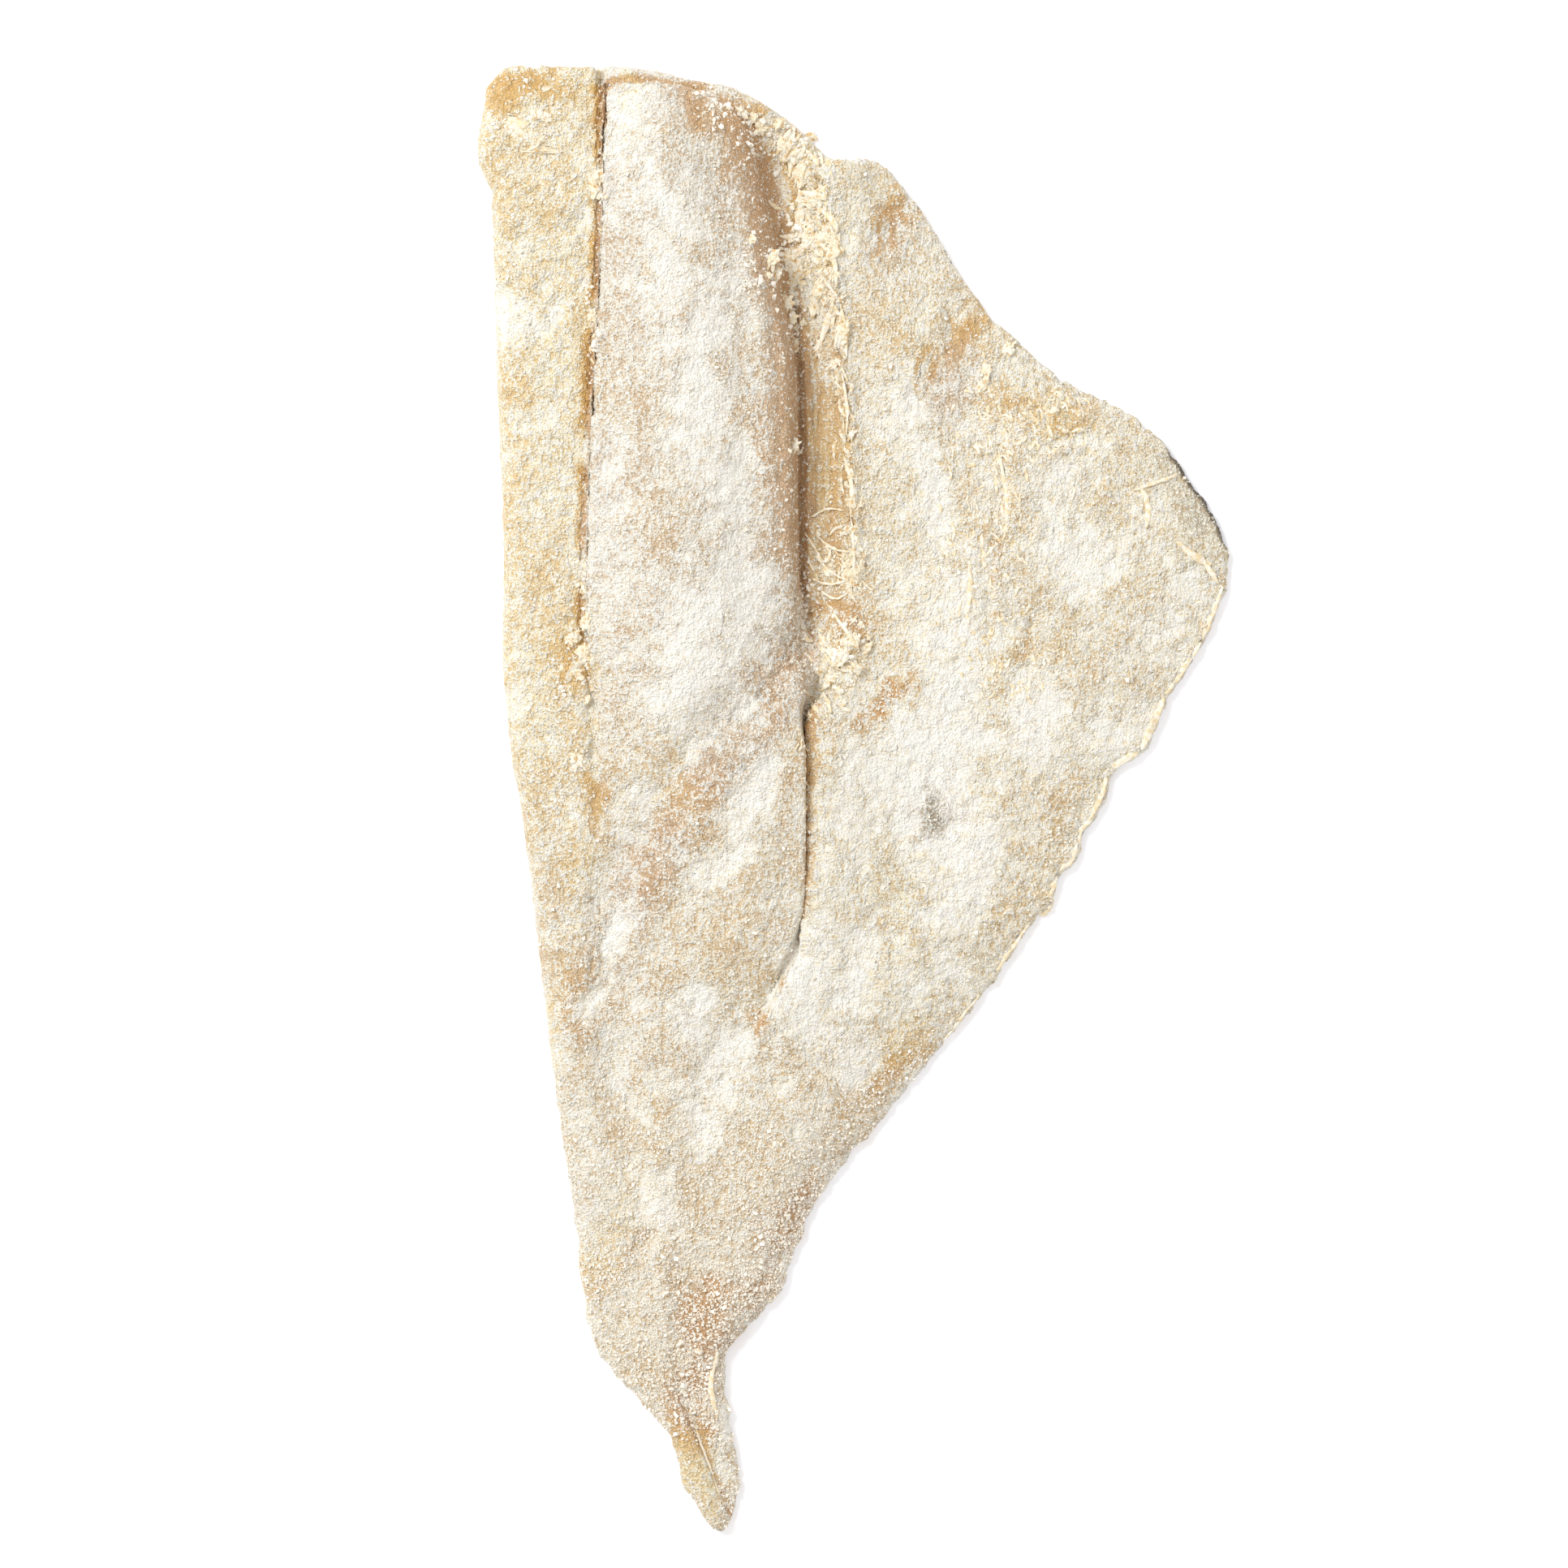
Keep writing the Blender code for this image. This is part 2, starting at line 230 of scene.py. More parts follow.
def shade(red, green, blue):
    """A colour as read off a screen, 0 to 255, as the linear numbers that shaders take."""
    linear = [((c / 255 + 0.055) / 1.055) ** 2.4 for c in (red, green, blue)]
    return (*linear, 1.0)


# %% [markdown]
# ## The table
# The floor isn't part of the food, so it stays plain: one pale, matt sheet that is wide enough
# to fill the view.

# %% The table
TABLE_SIZE = 6.0
TABLE_DROP = 0.2 * MM
TABLE_COLOUR = (0.94, 0.955, 1.0, 1)
GLOW_COLOUR = (0.92, 0.93, 1.0, 1)
TABLE_GLOW = 0.22
tabletop = bpy.data.meshes.new("table")
sheet = bmesh.new()
bmesh.ops.create_grid(sheet, x_segments=1, y_segments=1, size=TABLE_SIZE / 2)
sheet.to_mesh(tabletop)
sheet.free()
table = bpy.data.objects.new("table", tabletop)
scene.collection.objects.link(table)
table.location.z = low.z - TABLE_DROP
matt_white = Finish("matt_white", 0.9)
matt_white.feed(Base_Color=TABLE_COLOUR)
matt_white.feed(Emission_Color=GLOW_COLOUR, Emission_Strength=TABLE_GLOW)
tabletop.materials.append(matt_white.material)

# %% [markdown]
# ## Places on the fish
# Everything is placed by two shares: how far along the side from the head cut, and how far
# across it from the back edge. A line such as the backbone groove is a few such stops with a
# smooth curve through them, and `beside` tells, for many points at once, how far they lie from a
# line and on which side.


# %% Lines on the fish
def place(along, across):
    return np.array([low.x + across * WIDTH, high.y - along * LENGTH])


def trace(stops, steps=8):
    """A smooth line through stops of (share of the length, share of the width), as x, y."""
    marks = np.array([place(*stop) for stop in stops])
    marks = np.vstack([2 * marks[0] - marks[1], marks, 2 * marks[-1] - marks[-2]])
    line = []
    for a, b, c, d in zip(marks, marks[1:], marks[2:], marks[3:]):
        for s in np.linspace(0, 1, steps, endpoint=False):
            bend = (2 * a - 5 * b + 4 * c - d) * s**2 + (3 * b - a - 3 * c + d) * s**3
            line.append(b + 0.5 * ((c - a) * s + bend))
    return np.array(line + [marks[-2]])


def beside(points, line):
    """Distance to the line, the share of the line reached there, and +1 on its belly side."""
    best = np.full(len(points), np.inf)
    reached = np.zeros(len(points))
    side = np.zeros(len(points))
    gone = 0.0
    for start, end in zip(line, line[1:]):
        run = end - start
        length = math.hypot(*run)
        offset = points[:, :2] - start
        s = np.clip(offset @ run / length**2, 0, 1)
        away = np.hypot(*(offset - s[:, None] * run).T)
        nearer = away < best
        best[nearer] = away[nearer]
        reached[nearer] = gone + s[nearer] * length
        side[nearer] = np.sign(run[0] * offset[nearer, 1] - run[1] * offset[nearer, 0])
        gone += length
    return best, reached / gone, side


GROOVE = trace((
    (0.012, 0.162), (0.062, 0.161), (0.145, 0.156), (0.201, 0.150), (0.285, 0.141), (0.340, 0.138),
    (0.368, 0.136), (0.420, 0.146),
))
FLANK_FOOT = trace((
    (0.004, 0.300), (0.017, 0.335), (0.040, 0.368), (0.090, 0.398), (0.145, 0.417), (0.201, 0.426),
    (0.352, 0.430), (0.385, 0.441), (0.413, 0.446), (0.446, 0.432), (0.563, 0.430), (0.602, 0.419),
    (0.630, 0.385), (0.664, 0.346),
))
GUTTER_EDGE = trace((
    (0.053, 0.430), (0.090, 0.458), (0.173, 0.472), (0.250, 0.488), (0.335, 0.497), (0.350, 0.497),
))
CREASE = trace((
    (0.424, 0.452), (0.446, 0.436), (0.480, 0.430), (0.563, 0.428), (0.592, 0.416), (0.612, 0.400),
    (0.640, 0.375), (0.668, 0.338),
))
VALLEY = trace((
    (0.374, 0.432), (0.410, 0.405), (0.440, 0.372), (0.469, 0.325), (0.507, 0.279), (0.552, 0.225),
    (0.600, 0.172), (0.652, 0.140),
))
print(f"the groove runs {np.hypot(*np.diff(GROOVE, axis=0).T).sum() / MM:.0f} mm")

# %% [markdown]
# ## An even mesh
# The solid has long, thin triangles, which can't be dented finely. A voxel remesh trades them
# for small even squares that follow every wall, and a few rounds of smoothing melt the old
# facets. The underside is covered by skin, so its squares give way to one flat face, and all
# the detail stays where it is seen.


# %% Even mesh
def remeshed(name, voxel, smoothing):
    """The solid as a new object with even faces."""
    piece = bpy.data.objects.new(name, frame["nodes"]["cod_side"].data.copy())
    scene.collection.objects.link(piece)
    shape = bmesh.new()
    shape.from_mesh(piece.data)
    bmesh.ops.remove_doubles(shape, verts=shape.verts[:], dist=0.001 * MM)
    shape.to_mesh(piece.data)
    shape.free()
    even = piece.modifiers.new("even", "REMESH")
    even.mode = "VOXEL"
    even.voxel_size = voxel
    relax = piece.modifiers.new("relax", "SMOOTH")
    relax.iterations = smoothing
    graph = bpy.context.evaluated_depsgraph_get()
    mesh = bpy.data.meshes.new_from_object(piece.evaluated_get(graph))
    piece.modifiers.clear()
    piece.data = mesh
    mesh.name = name
    return piece


def vectors(items, name, width=3):
    found = np.empty(len(items) * width)
    items.foreach_get(name, found)
    return found.reshape(-1, width)


VOXEL = 1.05 * MM
FLESH_FLOOR = 0.5 * MM
UNDERSIDE = 0.8 * MM
FACING_DOWN = -0.9
flesh = remeshed("flesh", VOXEL, 4)
shape = bmesh.new()
shape.from_mesh(flesh.data)
downward = [face for face in shape.faces if face.normal.z < FACING_DOWN]
under = [face for face in downward if face.calc_center_median().z < UNDERSIDE]
bmesh.ops.delete(shape, geom=under, context="FACES")
rim = [edge for edge in shape.edges if edge.is_boundary]
for vertex in {vertex for edge in rim for vertex in edge.verts}:
    vertex.co.z = FLESH_FLOOR
cap = bmesh.ops.holes_fill(shape, edges=rim, sides=0)["faces"]
bmesh.ops.triangulate(shape, faces=cap, ngon_method="EAR_CLIP")
shape.to_mesh(flesh.data)
shape.free()
print(f"the flesh has {len(flesh.data.vertices)} vertices and {len(flesh.data.polygons)} faces")

# %% [markdown]
# ## Relief
# Salted flesh is never smooth. Wide swells come from the muscle under it, lumps of a few
# millimetres from the crust, and ridges from fibres. Each is a layer of noise with its own
# size, laid only where it belongs: the loin is the smoothest part and the belly flap the
# roughest. The layers are added up and the points then move along their normals.


# %% Measures at every point
def ease(values, start, end):
    """0 below start, 1 above end, eased between; start may be the larger one."""
    share = np.clip((values - start) / (end - start), 0, 1)
    return share * share * (3 - 2 * share)


def blobs(points, size, seed=0):
    """Smooth noise, about -1 to 1, with blobs of this size."""
    return np.array([noise.noise(p) for p in (points / size + 31.7 * seed).tolist()])


def ridges(points, size, seed=0):
    """Noise with thin crests, 0 to 1."""
    return 1 - np.clip(2.2 * np.abs(blobs(points, size, seed)), 0, 1)


def combed(points, heading, thickness, length):
    """The points as fibres see them: squeezed along a heading given in degrees from +X."""
    turn = math.radians(heading)
    along = points[:, 0] * math.cos(turn) + points[:, 1] * math.sin(turn)
    across = points[:, 1] * math.cos(turn) - points[:, 0] * math.sin(turn)
    return np.stack([along * thickness / length, across, points[:, 2]], 1)


spots = vectors(flesh.data.vertices, "co")
facing = vectors(flesh.data.vertex_normals, "vector")
along = (high.y - spots[:, 1]) / LENGTH
from_groove, groove_run, groove_side = beside(spots, GROOVE)
from_foot, _, foot_side = beside(spots, FLANK_FOOT)
from_gutter, gutter_run, gutter_side = beside(spots, GUTTER_EDGE)
from_crease, crease_run, crease_side = beside(spots, CREASE)
from_valley, _, _ = beside(spots, VALLEY)
wide = blobs(spots, 26 * MM, 1)
lumpy = blobs(spots, 9 * MM, 2)
knobbly = blobs(spots, 4.2 * MM, 3)
crumbly = ridges(spots, 2.6 * MM, 4)
fine = blobs(spots, 1.7 * MM, 5)
frays = 0.22 * lumpy + 0.22 * knobbly + 0.10 * fine
warp = np.stack([blobs(spots, 15 * MM, 21), blobs(spots, 15 * MM, 22)], 1) * 6 * MM
warped = spots[:, :2] + warp + 2.5 * MM * np.stack([lumpy, knobbly], 1)


def patch(along, across, reach, width, slant=0.0):
    """1 inside a frayed oval, 0 outside; half length and half width in mm, slant in degrees."""
    x, y = (warped - place(along, across)).T
    turn = math.radians(slant)
    ahead = (x * math.sin(turn) + y * math.cos(turn)) / (reach * MM)
    aside = (x * math.cos(turn) - y * math.sin(turn)) / (width * MM)
    return ease(np.hypot(ahead, aside) + frays, 1.5, 0.1)


belly = ease(foot_side * from_foot, -1 * MM, 3 * MM) * ease(along, 0.70, 0.60)
back = ease(-groove_side * from_groove, 0, 2 * MM) * ease(along, 0.60, 0.42)
loin = (1 - belly) * (1 - back)
upward = ease(facing[:, 2], 0.1, 0.6)
above = ease(spots[:, 2], 0.6 * MM, 2.5 * MM)
gutter = (foot_side > 0) * (gutter_side < 0) * ease(along, 0.155, 0.20) * ease(along, 0.365, 0.345)
print(f"belly {belly.mean():.2f}, back {back.mean():.2f}, loin {loin.mean():.2f} of all points")

# %% Layers of relief
rough = 0.6 + 0.25 * belly + 0.35 * back - 0.2 * loin * ease(along, 0.5, 0.35)
lift = 0.4 * MM * wide + 0.35 * MM * rough * lumpy + 0.6 * MM * rough * knobbly
lift += (0.60 * MM * crumbly + 0.34 * MM * fine) * (0.5 + 0.8 * rough) * (1 - 0.75 * gutter)
facet = patch(0.958, 0.288, 24, 6, -17)
lift *= 1 - 0.75 * facet
flap_fibres = belly * patch(0.30, 0.68, 60, 26)
lift += 0.7 * MM * flap_fibres * ridges(combed(spots, 86, 1, 9), 2.2 * MM, 7) ** 2
edge_fibres = belly * patch(0.235, 0.76, 16, 34, -30)
lift += 0.8 * MM * edge_fibres * ridges(combed(spots, 20, 1, 4), 2.0 * MM, 9) ** 2
hammered = back * ease(along, 0.22, 0.15)
lift += 0.9 * MM * hammered * (ridges(combed(spots, 35, 1, 1.8), 4.2 * MM, 10) - 0.4)
pleats = ridges(combed(spots, 89, 1, 7), 3.4 * MM, 11)
wrinkled = gutter * (pleats - 0.4)
lift += 1.5 * MM * wrinkled
print(f"the layers lift by {lift.min() / MM:.1f} to {lift.max() / MM:.1f} mm")

# %% [markdown]
# ## Cuts, lips and torn places
# The backbone left a groove with ragged banks, and the ribs left a gutter with a torn edge. Lower
# down the flesh has folded over itself. Each is a line, so each is shaped by the distance to it:
# a narrow cut on the line and a raised lip beside it, both uneven because noise disturbs the
# distance itself.


# %% Cuts and lips
def cut(away, half_width, depth, strength=1.0):
    """A channel with a round floor; strength may vary along it."""
    return -depth * strength * ease(away, half_width, 0.15 * half_width)


def lip(away, start, end, height, strength=1.0):
    """A swelling between two distances from a line."""
    return height * strength * ease(away, start - 1.2 * MM, start) * ease(away, end, start)


HEAD_CREASE = trace((
    (0.040, 0.164), (0.018, 0.166), (0.0105, 0.185), (0.0095, 0.22), (0.0105, 0.27), (0.016, 0.32),
))
from_head, head_run, _ = beside(spots, HEAD_CREASE)
shaky = 0.9 * MM * knobbly + 0.5 * MM * fine
lift *= 1 - 0.6 * ease(from_crease, 4 * MM, 2 * MM)
groove_on = ease(groove_run, 1.0, 0.93) * (0.55 + 0.45 * ease(wide + lumpy, -0.4, 0.3))
lift += lip(groove_side * from_groove + shaky, 1.8 * MM, 5.5 * MM, 0.6 * MM, groove_on)
lift += cut(from_head + shaky, 1.5 * MM, 1.2 * MM, ease(head_run, 1.0, 0.8))
foot_on = ease(along, 0.12, 0.18) * ease(along, 0.37, 0.35)
lift += cut(from_foot + 0.5 * shaky, 1.5 * MM, 0.6 * MM, foot_on)
torn = ease(gutter_run, 0, 0.08) * ease(gutter_run, 1.0, 0.97)
lift += lip(gutter_side * from_gutter + 2 * shaky, 0.6 * MM, 7 * MM, 1.5 * MM, torn)
lift += 0.9 * MM * torn * ease(from_gutter, 6 * MM, 1 * MM) * (crumbly - 0.4)
crease_on = ease(crease_run, 0, 0.04) * ease(crease_run, 1.0, 0.9)
crease_half = 2.0 * MM - 0.8 * MM * ease(crease_run, 0.3, 0.7)
past_crease = crease_side * from_crease
crease_away = np.abs(past_crease - 3.1 * MM) + 0.5 * shaky
gaping = ease(crease_run, 0.05, 0.2) * ease(crease_run, 0.8, 0.5)
lift += cut(crease_away, crease_half, 0.3 * MM, crease_on)
lift += lip(0.6 * shaky - past_crease, 0.5 * MM, 7 * MM, 0.8 * MM, crease_on)
shoulder = ease(-foot_side * from_foot, 3 * MM, 8 * MM) * ease(from_foot, 20 * MM, 11 * MM)
lift += 2.0 * MM * shoulder * ease(along, 0.03, 0.08) * ease(along, 0.40, 0.34)
low_shoulder = ease(-foot_side * from_foot, 1.5 * MM, 4 * MM) * ease(from_foot, 12 * MM, 6 * MM)
lift += 2.6 * MM * low_shoulder * ease(along, 0.15, 0.20) * ease(along, 0.40, 0.36)
lift += 2.6 * MM * (foot_side > 0) * ease(from_foot, 11 * MM, 1 * MM) * foot_on
crease_floor = ease(past_crease + 0.8 * shaky, (2.5 + 2.0 * gaping) * MM, 2 * MM)
far_bank = 1 - (0.2 + 0.15 * gaping) * crease_floor
far_bank *= ease(from_crease, 32 * MM, 3.5 * MM)
far_bank *= (
    ease(past_crease, 0.9 * MM, 1.9 * MM) * (1 - 0.4 * ease(crease_run, 0.5, 0.75)) * crease_on
)
lift += 5.8 * MM * far_bank
TAIL_RIDGE = trace(((0.905, 0.262), (0.930, 0.278), (0.955, 0.300), (0.990, 0.328)))
from_ridge, ridge_run, ridge_side = beside(spots, TAIL_RIDGE)
ridge_away = ridge_side * from_ridge + 0.4 * shaky
ridge_on = ease(ridge_run, 0, 0.1) * ease(from_ridge, 9 * MM, 3 * MM)
lift += 1.3 * MM * ridge_on * ease(ridge_away, 0.8 * MM, -0.3 * MM)
valley_on = ease(from_valley, 14 * MM, 4 * MM)
lift += 1.0 * MM * valley_on
lift += 0.35 * MM * valley_on * (crumbly + fine)
print(f"with its cuts the relief reaches {lift.min() / MM:.1f} to {lift.max() / MM:.1f} mm")

# %% [markdown]
# ## Lumps and hollows
# Some places have a shape of their own: the knob where the nape was cut, hollows on the flap,
# chunks of torn flesh beside the flank. They are listed as frayed ovals: share along, share
# across, half length, half width, slant and height.

# %% Lumps and hollows
LUMPS = (
    (0.062, 0.5, 8, 14, -60, 1.6), (0.11, 0.545, 12, 8, 15, -1.3), (0.175, 0.64, 12, 6, 30, -0.8),
    (0.21, 0.61, 14, 5, 25, -0.9), (0.3, 0.68, 24, 5, 0, -0.7), (0.395, 0.745, 14, 4, 5, -0.9),
    (0.34, 0.65, 16, 5, 0, 0.8), (0.27, 0.72, 22, 6, 0, 0.7), (0.4, 0.61, 18, 14, 20, 0.8),
    (0.455, 0.65, 16, 18, 30, 0.6), (0.395, 0.48, 9, 6, 20, 1.3), (0.085, 0.425, 9, 5, 30, 1.1),
    (0.125, 0.43, 6, 4, 10, 1.0), (0.35, 0.455, 7, 6, 0, 0.8), (0.365, 0.12, 9, 4, 0, 0.9),
    (0.415, 0.13, 9, 5, 0, 1.0), (0.385, 0.11, 5, 3, 0, -0.9), (0.455, 0.148, 7, 5, 10, 0.8),
    (0.17, 0.06, 9, 10, 0, 0.5), (0.04, 0.07, 4, 7, -70, 0.8), (0.06, 0.02, 11, 3, 0, 0.9),
    (0.085, 0.156, 4, 2.4, 0, 1.4), (0.182, 0.15, 4, 2.4, 0, 1.2), (0.72, 0.33, 20, 8, 25, 0.7),
    (0.8, 0.225, 9, 4, 50, -1.0), (0.83, 0.38, 12, 6, 30, -0.5), (0.86, 0.23, 14, 6, 30, 0.6),
    (0.9, 0.29, 12, 4, 15, -0.9), (0.14, 0.295, 2.5, 2, 0, -0.6), (0.285, 0.865, 14, 6, -25, -0.4),
    (0.32, 0.93, 8, 8, -60, 0.5), (0.512, 0.598, 9, 7, 10, -0.4), (0.52, 0.68, 16, 9, 35, 0.6),
    (0.3, 0.3, 20, 12, 10, 0.4), (0.42, 0.27, 24, 10, 15, 0.5), (0.4, 0.465, 15, 9, 10, 3.0),
    (0.425, 0.452, 5, 3, 30, -1.2), (0.87, 0.3, 20, 3, 10, 0.6),
)
for *oval, height in LUMPS:
    lift += height * MM * patch(*oval)
CHUNKS = ((0.105, 0.435, 22, 7, 12), (0.400, 0.475, 14, 10, 15), (0.400, 0.130, 22, 6, 0))
chunky = np.maximum.reduce([patch(*oval) for oval in CHUNKS])
lift += 1.0 * MM * chunky * (ridges(spots, 5 * MM, 12) - 0.45)
print(f"{len(LUMPS)} lumps and hollows, {len(CHUNKS)} chunky places")

# %% [markdown]
# ## A ragged outline
# The rim of the flap is thin, dried and crumbling. Points near the outline are pushed in or out
# along the direction that the nearest rim point faces, less and less further in. On the thin
# lower rim the push is strongest, with a few notches and lobes of their own.

# %% Outline
RIM_REACH = 7 * MM
NOTCHES = (
    (0.474, 0.842, 4, -1.4), (0.499, 0.822, 5, 1.2), (0.524, 0.798, 3, -1.6),
    (0.54, 0.792, 4, 1.6), (0.553, 0.775, 3, -1.2), (0.568, 0.765, 4, 1.0), (0.63, 0.69, 5, 0.9),
    (0.742, 0.5, 4, -0.9), (0.795, 0.405, 5, 1.2), (0.812, 0.4, 3, -1.4), (0.825, 0.385, 4, 1.2),
    (0.85, 0.345, 4, 1.0), (0.3, 0.984, 6, 0.8), (0.345, 0.998, 4, -1.0), (0.058, 0.004, 9, 1.2),
    (0.085, 0.006, 3, -1.0), (0.062, 0.53, 8, 0.8), (0.2, 0.692, 5, 0.8), (0.215, 0.72, 4, -0.9),
    (0.96, 0.335, 4, 0.8), (0.001, 0.01, 4, -2.2), (0.003, 0.29, 7, -1.6), (0.006, 0.25, 5, -0.8),
)


def flat_tree(points):
    """A search tree that knows only x and y."""
    tree = kdtree.KDTree(len(points))
    for number, (x, y) in enumerate(points[:, :2].tolist()):
        tree.insert((x, y, 0), number)
    tree.balance()
    return tree


def nearest_in(tree, points):
    """For each point, the number of its nearest one in the tree and the distance to it."""
    found = [tree.find((x, y, 0)) for x, y in points[:, :2].tolist()]
    return np.array([item[1] for item in found]), np.array([item[2] for item in found])


rim_points = np.flatnonzero((spots[:, 2] < 1.2 * MM) & (facing[:, 2] > -0.95))
rim_out = facing[rim_points, :2]
rim_out /= np.linalg.norm(rim_out, axis=1)[:, None] + 1e-9
rim_tree = flat_tree(spots[rim_points])
nearest_rim, from_rim = nearest_in(rim_tree, spots)
outward = rim_out[nearest_rim]
flat = spots * (1, 1, 0)
thin_rim = ease(along, 0.08, 0.2) * ease(foot_side * from_foot, -10 * MM, 10 * MM)
thin_rim = np.maximum(thin_rim, ease(along, 0.7, 0.8))
ripples = 0.9 * MM * blobs(flat, 6 * MM, 14) + 0.7 * MM * blobs(flat, 2.6 * MM, 15)
push = (0.35 + 0.65 * thin_rim) * ripples
for notch_along, notch_across, size, reach in NOTCHES:
    away = np.hypot(*(spots[:, :2] - place(notch_along, notch_across)).T)
    push += reach * MM * ease(away, 1.6 * size * MM, 0.3 * size * MM)
moved = spots + facing * (lift * above * (0.3 + 0.7 * upward))[:, None]
moved[:, :2] += outward * (push * ease(from_rim, RIM_REACH, 0))[:, None]

# %% [markdown]
# The solid's groove is a slot with upright walls, which no push along the normals can open. So
# its points take their height from the two banks instead: a floor that slopes gently down from
# the back strip and ends at a short steep wall under the loin.

# %% Groove
squares = [face.vertices[:] for face in flesh.data.polygons]
even_surface = bvhtree.BVHTree.FromPolygons(spots.tolist(), squares)
ABOVE = Vector((0, 0, 60 * MM))
DROP = Vector((0, 0, -1))


def height_on(tree, x, y):
    """The height of a surface at a point, or of the flesh's flat side where there's none."""
    hit = tree.ray_cast(Vector((x, y, 0)) + ABOVE, DROP)[0]
    return hit.z if hit else FLESH_FLOOR


def bank_heights(line, offset):
    """Heights beside a line, this far to its belly side, at each of its points."""
    heading = np.gradient(line, axis=0)
    heading /= np.linalg.norm(heading, axis=1)[:, None]
    beside_line = line + offset * np.stack([-heading[:, 1], heading[:, 0]], 1)
    return np.array([height_on(even_surface, *point) for point in beside_line.tolist()])


GROOVE_LEFT = 5.0 * MM
GROOVE_RIGHT = 2.8 * MM
GROOVE_FALL = 1.5 * MM
BRIDGES = (0.078, 0.168, 0.262, 0.345)
line_shares = np.linspace(0, 1, len(GROOVE))
left_bank = np.interp(groove_run, line_shares, bank_heights(GROOVE, -GROOVE_LEFT))
right_bank = np.interp(groove_run, line_shares, bank_heights(GROOVE, GROOVE_RIGHT))
offset = groove_side * from_groove
wavy = offset + 0.9 * MM * knobbly + 0.9 * MM * blobs(spots, 6 * MM, 16) + 0.5 * MM * fine
ledge = left_bank + (right_bank - left_bank) * ease(wavy, -0.2 * MM, 2.7 * MM)
fall = GROOVE_FALL * ease(wavy, -2.8 * MM, -0.4 * MM) * ease(wavy, 1.2 * MM, 0.4 * MM)
bridged = np.maximum.reduce([ease(np.abs(along - stop), 0.016, 0.006) for stop in BRIDGES])
fall *= groove_on * (1 - bridged)
inside = ease(offset, -GROOVE_LEFT, -GROOVE_LEFT + 1.5 * MM)
inside *= ease(offset, GROOVE_RIGHT, GROOVE_RIGHT - 0.8 * MM)
inside *= ease(groove_run, 1.0, 0.96) * (groove_run > 0) * ease(spots[:, 2], 4 * MM, 8 * MM)
moved[:, 2] += inside * (ledge - fall + 0.7 * lift - moved[:, 2])
moved[:, 2] = np.maximum(moved[:, 2], FLESH_FLOOR)
flesh.data.vertices.foreach_set("co", moved.ravel())
flesh.data.update()
print(f"the outline moves by {push.min() / MM:.1f} to {push.max() / MM:.1f} mm")

# %% [markdown]
# ## Where the salt lies, how the flesh has dried, and where shade is painted
# Colour follows the place as well. Salt lies thick on crests and thin in hollows; flesh that
# dried bare is tan; membranes and cuts have turned amber; folds and torn gaps are brown, and the
# brown paint also holds painted shade: in the crease, on the groove's floor, beside the tail
# ridge and along the valley. Walls that face the lamp get painted shade, and the slope beyond the
# crease is painted paler as painted light. Skin shows grey through the thin rim. Each is a number
# at every vertex, painted with the same frayed ovals, and the material reads them by name.

# %% Painted places
SALTED = (
    (0.62, 0.5, 15, 14, 20, 0.8), (0.61, 0.62, 12, 10, 30, 0.7), (0.68, 0.5, 12, 10, 30, 0.6),
    (0.38, 0.9, 10, 10, 0, 0.7), (0.32, 0.88, 9, 9, 0, 0.6), (0.43, 0.29, 9, 8, 30),
    (0.505, 0.215, 9, 5, 30, 0.8), (0.28, 0.78, 8, 12, 20, 0.5), (0.055, 0.195, 14, 5, 0, 0.7),
    (0.62, 0.43, 14, 10, 30, 0.9), (0.62, 0.57, 14, 12, 30, 0.7), (0.63, 0.65, 8, 8, 30, 0.6),
    (0.255, 0.66, 10, 8, 0, 0.6), (0.255, 0.8, 8, 10, 20, 0.6), (0.13, 0.25, 30, 9, 0),
    (0.165, 0.05, 9, 12, 0), (0.19, 0.3, 20, 8, 0), (0.245, 0.29, 22, 12, 10),
    (0.28, 0.33, 15, 9, 10), (0.36, 0.32, 24, 15, 20), (0.41, 0.28, 22, 14, 20),
    (0.385, 0.6, 11, 10, 0), (0.4, 0.63, 30, 18, 0), (0.47, 0.6, 30, 26, 20),
    (0.54, 0.63, 20, 18, 30), (0.58, 0.61, 14, 10, 35), (0.5, 0.36, 18, 8, 10),
    (0.33, 0.79, 13, 14, 0), (0.45, 0.85, 11, 12, 0), (0.35, 0.94, 9, 11, 0),
    (0.59, 0.19, 16, 5, 15), (0.64, 0.15, 12, 5, 10), (0.72, 0.3, 16, 8, 25),
    (0.64, 0.28, 10, 8, 20), (0.44, 0.73, 16, 16, 0), (0.67, 0.33, 12, 6, 30),
    (0.78, 0.24, 14, 8, 0), (0.55, 0.3, 12, 10, 30), (0.29, 0.6, 12, 9, 0),
    (0.25, 0.585, 20, 6, 0), (0.93, 0.315, 16, 2.5, 8),
)
